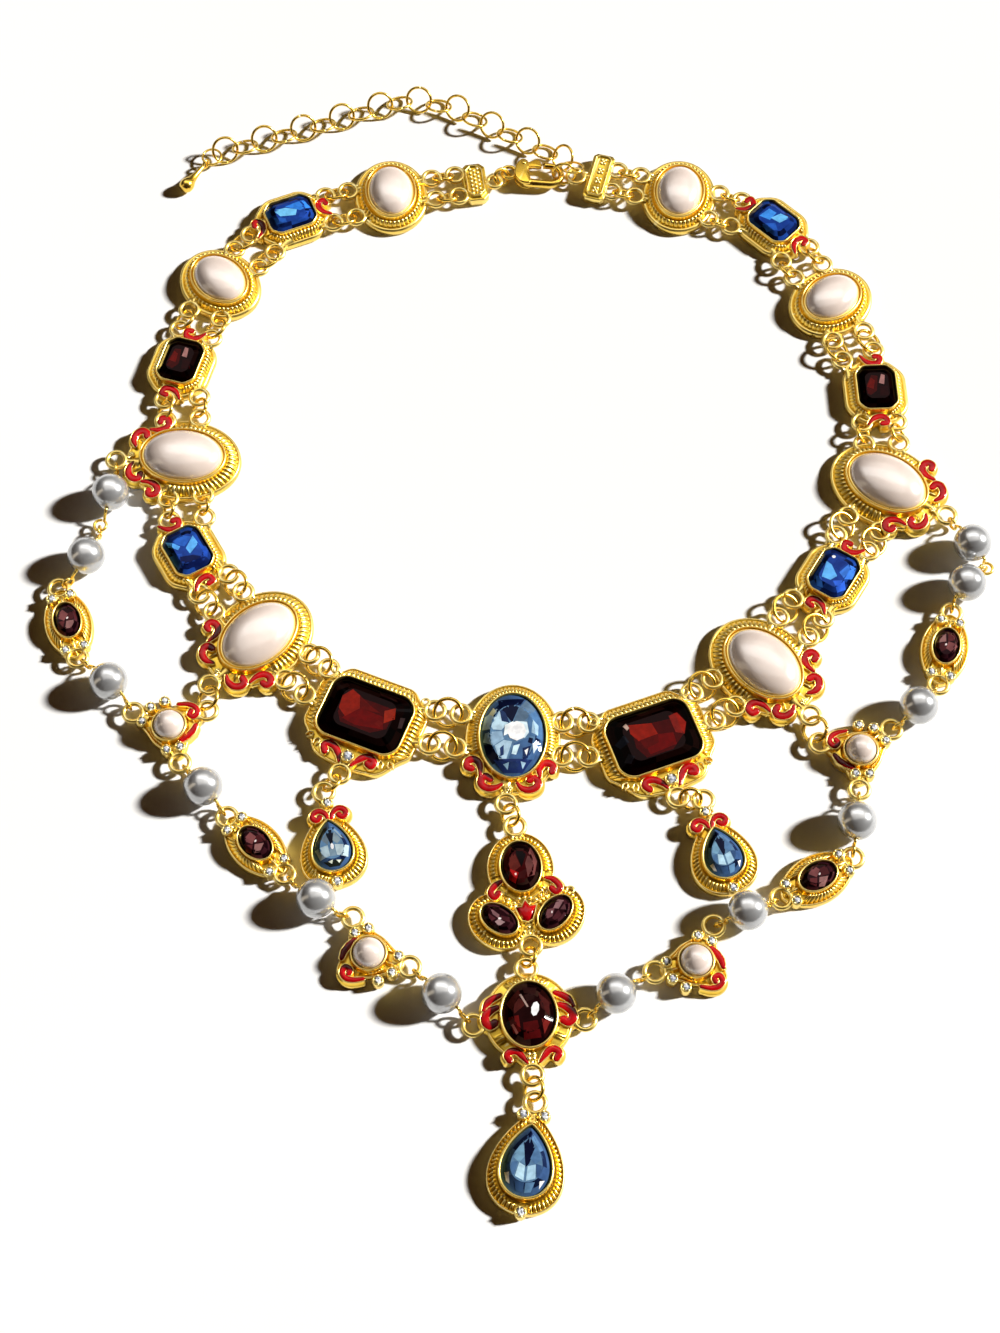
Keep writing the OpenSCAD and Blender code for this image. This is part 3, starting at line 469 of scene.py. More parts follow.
def ramp(nt, source, stops):
    r = node(nt, "ShaderNodeValToRGB")
    e = r.color_ramp.elements
    while len(e) < len(stops):
        e.new(0.5)
    for k, (pos, col) in enumerate(stops):
        e[k].position = pos
        e[k].color = (*col, 1) if len(col) == 3 else col
    nt.links.new(source, r.inputs["Fac"])
    return r


def spread(nt, source, low, high):
    m = node(nt, "ShaderNodeMapRange")
    m.inputs["From Min"].default_value = 0.3
    m.inputs["From Max"].default_value = 0.7
    m.inputs["To Min"].default_value = low
    m.inputs["To Max"].default_value = high
    nt.links.new(source, m.inputs["Value"])
    return m


def mix(nt, fac, a, b, kind="MIX"):
    m = node(nt, "ShaderNodeMix")
    m.data_type = "RGBA"
    m.blend_type = kind
    if isinstance(fac, (int, float)):
        m.inputs[0].default_value = fac
    else:
        nt.links.new(fac, m.inputs[0])
    for k, x in ((6, a), (7, b)):
        if isinstance(x, tuple):
            m.inputs[k].default_value = (*x, 1)
        else:
            nt.links.new(x, m.inputs[k])
    return m.outputs[2]


def bump(nt, b, source, strength, distance):
    n = node(nt, "ShaderNodeBump")
    n.inputs["Strength"].default_value = strength
    n.inputs["Distance"].default_value = distance
    nt.links.new(source, n.inputs["Height"])
    nt.links.new(n.outputs["Normal"], b.inputs["Normal"])


def gold_material(name, lit, deep, hollow_shade, edge, rough_low, rough_high, grain):
    m, nt, b = material(name)
    b.inputs["Metallic"].default_value = 1.0
    n1 = noise(nt, 260, 4)
    base = ramp(nt, n1.outputs["Fac"], [(0.3, deep), (0.7, lit)])
    geo = node(nt, "ShaderNodeNewGeometry")
    # painted shade: where the surface curves inward (low pointiness) the colour turns to the dark hollow colour;
    # painted highlight: on sharp edges (high pointiness) it turns to the pale edge colour
    low = ramp(nt, geo.outputs["Pointiness"], [(0.42, (1, 1, 1)), (0.49, (0, 0, 0))])
    high = ramp(nt, geo.outputs["Pointiness"], [(0.51, (0, 0, 0)), (0.60, (1, 1, 1))])
    hollows_shaded = mix(nt, low.outputs["Color"], base.outputs["Color"], hollow_shade)
    nt.links.new(mix(nt, high.outputs["Color"], hollows_shaded, edge), b.inputs["Base Color"])
    n2 = noise(nt, 700, 3)
    nt.links.new(spread(nt, n2.outputs["Fac"], rough_low, rough_high).outputs[0], b.inputs["Roughness"])
    n3 = noise(nt, 1500, 2)
    bump(nt, b, n3.outputs["Fac"], grain, 0.00004)
    return m


# each gold: light and dark random tones, then a painted shade colour for the hollows and a painted highlight colour
# for sharp edges
GOLD = gold_material("gold_cast", (0.96, 0.68, 0.10), (0.87, 0.55, 0.05), (0.46, 0.23, 0.014), (1.0, 0.84, 0.36), 0.27, 0.37, 0.25)
GOLD_BRIGHT = gold_material("gold_polished", (0.92, 0.62, 0.085), (0.84, 0.50, 0.045), (0.66, 0.35, 0.025), (0.96, 0.70, 0.17), 0.20, 0.28, 0.1)


def stone_material(name, rough=0.05):
    m, nt, b = material(name)
    a = node(nt, "ShaderNodeVertexColor")
    a.layer_name = "Tone"
    n = noise(nt, 700, 2)
    shade = ramp(nt, n.outputs["Fac"], [(0.35, (0.72, 0.72, 0.74)), (0.65, (1, 1, 1))])
    nt.links.new(mix(nt, 1.0, a.outputs["Color"], shade.outputs["Color"], "MULTIPLY"), b.inputs["Base Color"])
    b.inputs["Roughness"].default_value = rough
    b.inputs["IOR"].default_value = 1.45
    b.inputs["Specular IOR Level"].default_value = 0.06
    return m


GLASS_STONE = stone_material("foiled_glass")


def pearl_material():
    m, nt, b = material("cream_pearl")
    n = noise(nt, 180, 3)
    base = ramp(nt, n.outputs["Fac"], [(0.3, (0.60, 0.50, 0.445)), (0.7, (0.68, 0.575, 0.515))])
    nt.links.new(base.outputs["Color"], b.inputs["Base Color"])
    n2 = noise(nt, 500, 2)
    nt.links.new(spread(nt, n2.outputs["Fac"], 0.20, 0.26).outputs[0], b.inputs["Roughness"])
    b.inputs["IOR"].default_value = 2.2
    b.inputs["Coat Weight"].default_value = 0.4
    b.inputs["Coat Roughness"].default_value = 0.08
    return m


def grey_pearl_material():
    m, nt, b = material("grey_pearl")
    n = noise(nt, 220, 3)
    base = ramp(nt, n.outputs["Fac"], [(0.3, (0.42, 0.43, 0.44)), (0.7, (0.54, 0.55, 0.56))])
    nt.links.new(base.outputs["Color"], b.inputs["Base Color"])
    n2 = noise(nt, 600, 2)
    nt.links.new(spread(nt, n2.outputs["Fac"], 0.20, 0.27).outputs[0], b.inputs["Roughness"])
    b.inputs["Metallic"].default_value = 0.6
    b.inputs["IOR"].default_value = 2.0
    b.inputs["Coat Weight"].default_value = 0.5
    b.inputs["Coat Roughness"].default_value = 0.1
    return m


def enamel_material():
    m, nt, b = material("red_enamel_gloss")
    n = noise(nt, 500, 3)
    base = ramp(nt, n.outputs["Fac"], [(0.3, (0.28, 0.001, 0.003)), (0.65, (0.50, 0.002, 0.005))])
    nt.links.new(base.outputs["Color"], b.inputs["Base Color"])
    n2 = noise(nt, 900, 2)
    nt.links.new(spread(nt, n2.outputs["Fac"], 0.12, 0.22).outputs[0], b.inputs["Roughness"])
    b.inputs["Coat Weight"].default_value = 0.12
    b.inputs["Specular IOR Level"].default_value = 0.18
    b.inputs["Coat Roughness"].default_value = 0.05
    return m


PEARL, GREY, ENAMEL = pearl_material(), grey_pearl_material(), enamel_material()


# ---------------------------------------------------------------- shared details
def scroll_path(h, e, side, R=1.0, sweep=262.0, bow=0.25):
    """comma-shaped scroll: from the tail's end e into a head that winds round h"""
    h, e = np.array(h, float), np.array(e, float)
    d = e - h
    D = max(np.linalg.norm(d), R * 1.02)
    a, b = math.atan2(d[1], d[0]), math.acos(R / D)
    t0 = a + side * b
    T = h + R * np.array([math.cos(t0), math.sin(t0)])
    n = perp(unit(T - e)) * -side
    tail = [e + (T - e) * x + n * bow * math.sin(math.pi * x) for x in np.linspace(0, 1, 7)[:-1]]
    head = []
    for x in np.linspace(0, 1, 15):
        r = R * (1 - 0.58 * x ** 1.3)
        g = t0 + side * math.radians(sweep) * x
        head.append(h + r * np.array([math.cos(g), math.sin(g)]))
    p = np.array(tail + head)
    x = np.linspace(0, 1, len(p))
    w = np.interp(x, [0, 0.3, 0.6, 1], [0.35, 0.9, 0.98, 0.62])
    return p, w


def rounded_ends(p, w, grow=0.0):
    """closes a ribbon's two ends in half circles"""
    a, b = unit(p[0] - p[1]), unit(p[-1] - p[-2])
    w = w + grow
    s = (0.97, 0.8, 0.5)
    first = [p[0] + a * w[0] / 2 * math.sqrt(1 - k * k) for k in s][::-1]
    last = [p[-1] + b * w[-1] / 2 * math.sqrt(1 - k * k) for k in s]
    q = np.concatenate([[p[0] + a * w[0] / 2], first, p, last, [p[-1] + b * w[-1] / 2]])
    v = np.concatenate([[0.02], w[0] * np.array(s)[::-1], w, w[-1] * np.array(s), [0.02]])
    return q, v


def curve(points, n=6):
    """smooth line through a few points"""
    q = np.array(points, float)
    q = np.concatenate([[2 * q[0] - q[1]], q, [2 * q[-1] - q[-2]]])
    out = []
    for i in range(1, len(q) - 2):
        a, b, c, d = q[i - 1:i + 3]
        for t in np.arange(n) / n:
            out.append(0.5 * (2 * b + (c - a) * t + (2 * a - 5 * b + 4 * c - d) * t ** 2 + (3 * b - a - 3 * c + d) * t ** 3))
    out.append(q[-2])
    return np.array(out)


def stroke(p, enamel, path, w, z=2.45, base=0.3, wall=0.2, flare=0.5):
    """enamelled stroke: a raised gold wall with a wider foot, filled with domed red enamel"""
    q, v = rounded_ends(path, w, 2 * wall)
    f = flare
    p.ribbon(q, v, [(-1, -f, base), (-1, -f, 1.0), (-1, -0.75 * f, 1.25), (-1, -0.4 * f, 1.4), (-1, -0.1, z - 0.6), (-1, 0, z - 0.18), (-1, 0.08, z), (-1, 0.19, z - 0.02),
                    (-1, 0.27, z - 0.2), (0, 0, z - 0.26), (1, -0.27, z - 0.2), (1, -0.19, z - 0.02),
                    (1, -0.08, z), (1, 0, z - 0.18), (1, 0.1, z - 0.6), (1, 0.4 * f, 1.4), (1, 0.75 * f, 1.25), (1, f, 1.0), (1, f, base)])
    q, v = rounded_ends(path, w)
    enamel.frame = p.frame
    enamel.ribbon(q, v, [(-1, 0, z - 0.3), (-1, 0.02, z - 0.06), (-0.7, 0, z + 0.03), (-0.35, 0, z + 0.08), (0, 0, z + 0.1),
                         (0.35, 0, z + 0.08), (0.7, 0, z + 0.03), (1, -0.02, z - 0.06), (1, 0, z - 0.3)])
    return path


def charted_scroll(p, enamel, points, wide=1.15, z=2.45, flip=(1, 1), ends=(0.45, 0.95)):
    """scroll whose middle line is given by a few points from the tail to the curled head"""
    path = curve(np.array(points, float) * np.array(flip, float))
    x = np.linspace(0, 1, len(path))
    return stroke(p, enamel, path, wide * np.interp(x, [0, 0.25, 0.6, 1], [ends[0], 0.9, 1.0, ends[1]]), z)


def scroll(p, enamel, h, e, side, R=1.0, z=2.45, base=0.3, sweep=262.0, bow=0.25, wide=1.0):
    path, w = scroll_path(h, e, side, R, sweep, bow)
    return stroke(p, enamel, path, w * wide, z, base)


def cast_loop(p, c, a, r=LOOP_R, bar=3.0):
    """flat cast loop whose foot runs in direction a into its plate"""
    c = np.asarray(c, float)
    p.torus((*c, LOOP_Z), r, LOOP_W + 0.05, nu=36, nv=10)
    u = np.array([math.cos(math.radians(a)), math.sin(math.radians(a))])
    t = np.linspace(0, 1, 6)
    path = c + u * (r - 0.15 + (bar + 0.1) * t)[:, None]
    w = 0.9 + 1.9 * t ** 1.4
    p.ribbon(path, w, [(-1, -0.1, 0.5), (-1, 0, 1.1), (-0.96, 0, 1.7), (-0.7, 0, 2.08), (0, 0, 2.2),
                       (0.7, 0, 2.08), (0.96, 0, 1.7), (1, 0, 1.1), (1, 0.1, 0.5)])
    for s in (-1, 1):
        q = [c + rot2((r * math.cos(x), s * r * math.sin(x)), a) for x in np.linspace(1.15, 0.45, 5)]
        q += [c + rot2((r + 0.9, s * 0.75), a)]
        p.tube(z3(np.array(q), [LOOP_Z - 0.05] * 6), np.linspace(0.4, 0.52, 6), nv=8)


def gem_cup(p, gems, c, r=1.0, z=2.85, prongs=4, turn=20.0):
    """small claw-set crystal"""
    c = np.asarray(c, float)
    prof = [(r + 0.34, 0.5), (r + 0.36, z - 0.9), (r + 0.30, z - 0.25), (r + 0.18, z - 0.04), (r + 0.08, z), (r - 0.02, z - 0.08), (r - 0.06, z - 0.4)]
    p.rings([z3(oval(2 * a, 2 * a, 20) + c, b) for a, b in prof[::-1]])
    for k in range(prongs):
        g = math.radians(turn + 360 * k / prongs)
        p.ball((c[0] + (r + 0.02) * math.cos(g), c[1] + (r + 0.02) * math.sin(g), z + 0.06), 0.24, 8, 5)
    gems.frame = p.frame
    crystal(gems, c, r - 0.04, z - 0.2, turn)


# painted reflections of the clear crystals: each facet gets a fixed light or dark tone for its sparkle, the whites
# being painted highlights; crystal() paints the pavilion under the girdle a dim grey as painted shade
CRYSTAL_GLINT_TONES = [(0.95, 0.96, 1.0), (0.42, 0.45, 0.52), (0.80, 0.83, 0.88), (0.16, 0.18, 0.22), (0.99, 0.99, 1.0),
                 (0.55, 0.58, 0.64), (0.30, 0.32, 0.38), (0.88, 0.90, 0.95)]


def crystal(g, c, r, z, turn):
    c = np.asarray(c, float)
    n = 8
    a = np.radians(turn + 360 * np.arange(n) / n)
    gird = c + r * np.stack([np.cos(a), np.sin(a)], 1)
    b = a + math.pi / n
    top = c + 0.52 * r * np.stack([np.cos(b), np.sin(b)], 1)
    h = int(abs(c[0] * 7 + c[1] * 13 + r * 31)) % 8
    for k in range(n):
        j = (k + 1) % n
        i = (k - 1) % n
        g.add([(*gird[k], z), (*gird[j], z), (*top[k], z + 0.36)], np.array([[0, 1, 2]]), smooth=False, tone=CRYSTAL_GLINT_TONES[(h + 3 * k) % 8])
        g.add([(*gird[k], z), (*top[k], z + 0.36), (*top[i], z + 0.36)], np.array([[0, 1, 2]]), smooth=False, tone=CRYSTAL_GLINT_TONES[(h + 5 * k + 2) % 8])
        g.add([(*c, z + 0.37), (*top[k], z + 0.36), (*top[j], z + 0.36)], np.array([[0, 1, 2]]), smooth=False, tone=CRYSTAL_GLINT_TONES[(h + 3 * k + 1) % 8])
    g.rings([z3(gird, z), z3((gird - c) * 0.7 + c, z - 0.5)], smooth=False, cap_last=True, tone=(0.3, 0.3, 0.33))


def flower(p, c, z=2.5, r=0.55):
    for k in range(6):
        g = math.radians(60 * k)
        p.ball((c[0] + r * math.cos(g), c[1] + r * math.sin(g), z), 0.3, 8, 5)
    p.ball((*c, z + 0.12), 0.32, 8, 5)


def even_out(stone, plate, inner, outer, pitch, per_rib=6):
    """the same two curves with as many points for each rib, evenly along the ribs"""
    mid = (off(stone, inner) + off(plate, -outer)) / 2
    s, L = arc_length(mid)
    N = round(L / pitch)
    want = np.arange(N * per_rib) * L / (N * per_rib)
    s = np.concatenate([s, [L]])
    out = []
    for c in (stone, plate):
        c = np.concatenate([c, c[:1]])
        out.append(np.stack([np.interp(want, s, c[:, 0]), np.interp(want, s, c[:, 1])], 1))
    return out[0], out[1], N


def border(p, stone, plate, pitch, amp, scrolls=(), zb=BEZEL_Z, lip=0.5, rib_top=2.95, rib_low=1.6, rim=0.9,
           channel=0.2, collar=False, plate_top=1.5, smooth_band=0.0, raised=0.0, reach_=(1.3, 1.9)):
    """border of a casting: thin bezel lip, dark groove, flat-topped ribs with narrow gaps, rounded rim, flat back.
    stone and plate are closed curves whose points answer to each other"""
    stone, plate, N = even_out(stone, plate, lip + channel, rim, pitch)
    mid = (off(stone, lip + channel) + off(plate, -rim)) / 2
    s, L = arc_length(mid)
    phase = np.abs((N * s / L + 0.5) % 1 - 0.5)
    ribs = 1 - smoothstep(0.24, 0.5, phase)
    quiet = np.ones(len(mid))
    for q in scrolls:
        d = np.min(np.linalg.norm(mid[:, None, :] - np.asarray(q)[None, :, :], axis=2), axis=1)
        quiet *= smoothstep(reach_[0], reach_[1], d)
    rows = []

    def row(c, z):
        rows.append(z3(c, z))
    if collar:      # second, lower lip that hugs a pearl
        row(off(stone, -0.75), 2.0)
        row(off(stone, -0.66), zb - 0.55)
        row(off(stone, -0.5), zb - 0.32)
        row(off(stone, -0.3), zb - 0.28)
        row(off(stone, -0.1), zb - 0.42)
        row(off(stone, 0.0), zb - 0.85)
        row(off(stone, 0.1), zb - 0.5)
        row(off(stone, 0.14), zb - 0.2)
    else:
        row(off(stone, 0), 2.0)
        row(off(stone, 0.02), zb - 0.2)
    row(off(stone, 0.24 * lip + 0.04), zb - 0.03)
    row(off(stone, 0.5 * lip + 0.02), zb)
    row(off(stone, 0.8 * lip), zb - 0.05)
    row(off(stone, lip), zb - 0.3)
    row(off(stone, lip + 0.04), rib_top - 0.25)
    row(off(stone, lip + channel * 0.5), rib_top - 0.5)
    inner, outer = off(stone, lip + channel), off(plate, -rim)
    if smooth_band:     # plain concave channel between the lip and the teeth
        inner = inner + (outer - inner) * smooth_band
        row(off(stone, lip + 0.06) * 0.5 + inner * 0.5, rib_top - 0.75)
    for u, h, a in ((0, 0.88, 0.2), (0.06, 0.99, 0.8), (0.2, 1.0, 1.0), (0.45, 0.84, 1.0), (0.7, 0.56, 1.0), (0.88, 0.27, 0.95), (0.96, 0.1, 0.6), (1.0, 0.0, 0.0)):
        z = rib_low + (rib_top - rib_low) * h - amp * a * (1 - ribs)
        calm_z = rib_low + 0.2 - 0.2 * u
        rows.append(z3(inner + (outer - inner) * u, calm_z + (z - calm_z) * quiet))
    r = raised
    row(off(plate, -rim + 0.06), plate_top - 0.05)
    row(off(plate, -rim + 0.2), plate_top + 0.12 + r * 0.6)
    row(off(plate, -rim * 0.55), plate_top + 0.22 + r)
    row(off(plate, -rim * 0.25), plate_top + 0.12 + r)
    row(off(plate, -0.05), plate_top - 0.18)
    row(off(plate, 0), plate_top - 0.5)
    row(off(plate, 0), 0.25)
    row(off(plate, -0.25), 0.0)
    p.rings(rows, cap_last=True)
    return N


# ---------------------------------------------------------------- stones
def shade(c, k):
    return tuple(min(1.0, x * k) for x in c)


# contrast, strength and greyness given to each kind of stone's tones, both its own colour and the painted reflections
# and highlights on it
STONE_TONE_GRADE = {"garnets": (1.6, (1.08, 0.9, 0.9), 0.0), "sapphires": (1.2, (1.12, 1.22, 1.18), 0.06),
        "aquas": (1.5, (1.3, 1.34, 1.18), 0.22), "garnets_oval": (1.15, (1.3, 1.3, 1.2), 0.0)}


def deeper(g, c):
    """a facet's tone, the stone's own colour mixed with painted reflection, graded for that kind of stone"""
    power, strength, grey = STONE_TONE_GRADE.get(g.name, (1.3, (1, 1, 1), 0.0))
    c = [k * x ** power for k, x in zip(strength, c)]
    middle = sum(c) / 3
    return tuple(min(1.0, x + (middle - x) * grey) for x in c)


def gauge(G):
    """how far out a point lies in an outline: 1 on it, 0 in the middle"""
    th = np.degrees(np.arctan2(G[:, 1], G[:, 0])) % 360
    o = np.argsort(th)
    th, r = th[o], np.linalg.norm(G, axis=1)[o]
    return lambda p: np.linalg.norm(p, axis=1) / np.interp(np.degrees(np.arctan2(p[:, 1], p[:, 0])) % 360, th, r, period=360)


def facet_patch(g, q, tone, height, lift):
    tone = deeper(g, tone)
    q = np.array(q, float)
    if np.sum(q[:, 0] * np.roll(q[:, 1], -1) - q[:, 1] * np.roll(q[:, 0], -1)) < 0:
        q = q[::-1]
    m = 5
    c = q.mean(0)
    edge = np.concatenate([q[i] + (q[(i + 1) % len(q)] - q[i]) * (np.arange(m) / m)[:, None] for i in range(len(q))])
    rows = []
    for k in (0.02, 0.3, 0.65, 1.0):
        r = c + (edge - c) * k
        rows.append(z3(r, height(r) + lift))
    g.rings(rows, smooth=False, cap_first=True, tone=tone)


def faceted(g, G, edge, base, patches, turn=0.0, z0=3.2, z1=TABLE_Z, t=0.62, nf=8, size=None):
    """foil-backed stone: flat table in the stone's own colour, a sloping crown whose facets carry painted dark and
    light reflections, charted patches of painted reflection and painted highlight laid on the table, and under the
    crown a skirt in painted shade, a darker copy of the first crown tone.
    patches are given in the table's own axes, in mm, or as parts of size = (half width, half height)"""
    n = len(G)
    per = n // nf
    R = gauge(G)

    def height(p):
        return z1 - (z1 - z0) * np.clip((R(p) - t) / (1 - t), 0, 1)
    for k in range(nf):
        idx = (np.arange(per + 1) + k * per + per // 2) % n
        for j, (a, b) in enumerate(((t, (1 + t) / 2), ((1 + t) / 2, 1.0))):
            a, b = G[idx] * a, G[idx] * b
            g.rings([z3(a, height(a)), z3(b, height(b))], closed=False, smooth=False, tone=deeper(g, edge[(k * (3 + 2 * j) + j) % len(edge)]))
    g.rings([z3(G * 0.03, z1), z3(G * t, z1)], smooth=False, cap_first=True, tone=deeper(g, base))
    for k, (pts, tone) in enumerate(patches):
        q = np.array(pts, float)
        if size:
            q = q * np.array(size)
        q = rot2(q, -turn)
        r = R(q)
        q = q * np.where(r > 0.97, 0.97 / np.maximum(r, 1e-6), 1)[:, None]
        facet_patch(g, q, tone, height, 0.012 + 0.003 * k)
    g.rings([z3(G, z0), z3(G * 0.95, z0 - 1.2)], smooth=False, cap_last=True, tone=shade(edge[0], 0.3))


def pearl_dome(g, w, h, top, z0=2.4, shoulder=3.2, n=64):
    rows = []
    o = oval(w, h, n)
    rows.append(z3(o * 0.06, top))
    for a in np.linspace(84, 0, 15):
        k = math.cos(math.radians(a)) ** 0.9
        rows.append(z3(o * k, shoulder + (top - shoulder) * math.sin(math.radians(a))))
    rows.append(z3(o * 1.0, shoulder - 0.3))
    rows.append(z3(o * 0.97, z0))
    g.rings(rows, cap_first=True)


# ---------------------------------------------------------------- collections of small things
enamel = Piece("enamel")
gems = Piece("small_crystals")
pearls = Piece("pearls_set")
pearls_small = Piece("pearls_small_set")
garnets = Piece("garnets")
sapphires = Piece("sapphires")
aquas = Piece("aquas")
garnet_oval = Piece("garnets_oval")
amethysts = Piece("amethysts")
rings = Piece("rings")
pins = Piece("pins")

# stone tones: each *_BASE is a stone's own colour on its table; each *_EDGE list gives the crown facets round it that
# colour with painted dark and light reflections; NAVY and BLACK serve the tables below as painted dark reflections,
# WHITE as painted highlights
NAVY, BLACK, WHITE = (0.007, 0.020, 0.09), (0.006, 0.002, 0.003), (1.0, 1.0, 1.0)
AQUA_EDGE = [(0.02, 0.05, 0.15), (0.07, 0.17, 0.36), (0.012, 0.03, 0.10), (0.13, 0.28, 0.50), (0.03, 0.09, 0.24)]
AQUA_BASE = (0.15, 0.30, 0.50)
GARNET_EDGE = [(0.010, 0.002, 0.003), (0.022, 0.004, 0.004), (0.007, 0.001, 0.002), (0.035, 0.016, 0.013)]
GARNET_BASE = (0.045, 0.001, 0.002)
BLUE_EDGE = [(0.006, 0.018, 0.10), (0.010, 0.045, 0.22), (0.004, 0.010, 0.05), (0.012, 0.07, 0.32)]
BLUE_BASE = (0.012, 0.065, 0.33)
AMETHYST_EDGE = [(0.022, 0.006, 0.010), (0.07, 0.022, 0.03), (0.014, 0.003, 0.006), (0.11, 0.04, 0.05)]
AMETHYST_BASE = (0.045, 0.010, 0.016)


def spot(x, y, a, b, turn=0, n=8):
    return [(x + q[0], y + q[1]) for q in rot2(oval(2 * a, 2 * b, n), turn)]


# painted reflections: patches of light and dark facet tone, with white spots as painted highlights, laid over each
# stone's table; in parts of its half width and half height, table axes
AQUA_FACETS = [
    ([(-0.95, 0.12), (-0.9, 0.45), (-0.5, 0.62), (-0.12, 0.28), (-0.35, 0.08)], (0.50, 0.66, 0.82)),
    ([(-0.74, 0.50), (-0.60, 0.66), (-0.52, 0.56), (-0.62, 0.42)], (0.72, 0.70, 0.50)),
    ([(-0.5, 0.93), (0.4, 0.93), (0.18, 0.62), (-0.02, 0.26), (-0.18, 0.42), (-0.42, 0.66)], NAVY),
    ([(-0.42, 0.62), (-0.22, 0.50), (-0.10, 0.26), (-0.34, 0.30)], (0.03, 0.08, 0.22)),
    ([(0.20, 0.62), (0.45, 0.90), (0.72, 0.62), (0.34, 0.28), (0.02, 0.28)], (0.16, 0.25, 0.38)),
    ([(0.56, 0.74), (0.92, 0.34), (0.92, -0.15), (0.52, -0.05), (0.46, 0.28)], (0.10, 0.25, 0.48)),
    ([(0.62, 0.34), (0.80, 0.20), (0.78, -0.05), (0.58, 0.02)], (0.40, 0.56, 0.74)),
    ([(-0.86, 0.02), (-0.34, 0.06), (-0.28, -0.14), (-0.60, -0.30), (-0.92, -0.18)], (0.34, 0.50, 0.70)),
    ([(-0.90, -0.24), (-0.60, -0.32), (-0.44, -0.66), (-0.62, -0.72), (-0.82, -0.50)], NAVY),
    ([(-0.56, -0.30), (-0.28, -0.16), (-0.02, -0.20), (-0.20, -0.62), (-0.42, -0.62)], (0.44, 0.60, 0.78)),
    ([(-0.40, -0.36), (-0.28, -0.28), (-0.28, -0.52), (-0.38, -0.56)], (0.03, 0.09, 0.26)),
    ([(0.04, -0.24), (0.50, -0.10), (0.86, -0.22), (0.64, -0.60), (0.16, -0.70), (-0.12, -0.60)], (0.08, 0.21, 0.44)),
    ([(0.30, -0.36), (0.56, -0.30), (0.46, -0.60), (0.30, -0.64)], (0.02, 0.06, 0.20)),
    ([(0.02, -0.30), (0.22, -0.26), (0.10, -0.52), (-0.04, -0.50)], (0.62, 0.78, 0.92)),
    ([(0.50, -0.10), (0.62, -0.12), (0.60, -0.26), (0.46, -0.22)], NAVY),
    ([(0.36, -0.42), (0.48, -0.36), (0.42, -0.54)], WHITE),
    ([(0.60, -0.24), (0.78, -0.30), (0.64, -0.48)], (0.62, 0.72, 0.84)),
    ([(-0.60, -0.62), (0.60, -0.62), (0.30, -0.93), (-0.30, -0.93)], (0.02, 0.07, 0.26)),
    ([(-0.30, -0.74), (-0.12, -0.70), (-0.16, -0.86)], (0.34, 0.54, 0.76)),
    ([(0.24, -0.68), (0.40, -0.70), (0.30, -0.84)], (0.40, 0.58, 0.78)),
    ([(-0.10, -0.66), (0.20, -0.74), (0.10, -0.84), (-0.14, -0.80)], (0.03, 0.08, 0.24)),
    ([(-0.24, 0.20), (0.02, 0.30), (-0.06, 0.02), (-0.28, -0.06)], (0.78, 0.86, 0.95)),
    ([(0.10, 0.30), (0.44, 0.28), (0.50, 0.02), (0.36, -0.12)], (0.66, 0.77, 0.90)),
    (spot(0.12, 0.06, 0.30, 0.24), WHITE),
]
BIG_GARNET_R = [
    ([(-0.45, 0.28), (0.1, 0.42), (0.62, 0.34), (0.66, -0.25), (0.3, -0.62), (-0.35, -0.62), (-0.5, -0.2)], (0.15, 0.002, 0.003)),
    ([(-0.28, -0.05), (0.12, 0.0), (0.45, -0.1), (0.42, -0.5), (-0.25, -0.55)], (0.25, 0.004, 0.003)),
    ([(-0.47, 0.60), (0.06, 0.42), (0.10, 0.02), (-0.38, -0.02), (-0.50, 0.30)], (0.40, 0.055, 0.025)),
    ([(-0.36, 0.0), (0.10, 0.02), (0.04, -0.26), (-0.30, -0.34)], (0.20, 0.012, 0.006)),
    ([(0.50, 0.46), (0.72, 0.50), (0.84, 0.12), (0.68, -0.26), (0.50, -0.12)], (0.34, 0.06, 0.045)),
    ([(-0.60, 0.62), (-0.50, 0.68), (-0.47, 0.50), (-0.54, 0.44)], (0.62, 0.55, 0.48)),
    ([(-0.92, 0.16), (-0.64, 0.34), (-0.60, 0.05), (-0.84, -0.05)], (0.045, 0.055, 0.075)),
    ([(-0.2, 0.90), (0.45, 0.86), (0.50, 0.74), (-0.1, 0.76)], (0.06, 0.028, 0.022)),
    ([(-0.88, -0.50), (-0.74, -0.62), (-0.60, -0.45), (-0.72, -0.30)], (0.05, 0.05, 0.06)),
]
BIG_GARNET_L = [
    ([(-0.62, 0.40), (0.05, 0.45), (0.62, 0.45), (0.62, -0.25), (0.3, -0.55), (-0.45, -0.55), (-0.60, -0.25)], (0.15, 0.002, 0.003)),
    ([(-0.25, 0.12), (0.42, 0.10), (0.55, -0.3), (-0.1, -0.48), (-0.45, -0.40)], (0.25, 0.004, 0.003)),
    ([(-0.66, 0.30), (-0.50, 0.62), (-0.28, 0.50), (-0.16, 0.10), (-0.40, -0.32), (-0.62, -0.12)], (0.38, 0.055, 0.025)),
    ([(-0.28, 0.50), (0.10, 0.28), (0.34, 0.18), (-0.14, 0.08)], (0.22, 0.018, 0.010)),
    ([(0.40, 0.30), (0.62, 0.52), (0.70, 0.16), (0.50, -0.10)], (0.42, 0.08, 0.04)),
    ([(0.36, -0.06), (0.50, -0.10), (0.46, -0.26), (0.30, -0.22)], (0.28, 0.03, 0.02)),
    ([(-0.92, 0.55), (-0.70, 0.78), (-0.60, 0.70), (-0.84, 0.42)], (0.06, 0.03, 0.025)),
    ([(0.10, 0.86), (0.52, 0.84), (0.60, 0.74), (0.16, 0.76)], (0.05, 0.022, 0.02)),
    ([(0.80, 0.30), (0.90, 0.36), (0.92, 0.0), (0.84, -0.05)], (0.10, 0.08, 0.08)),
]
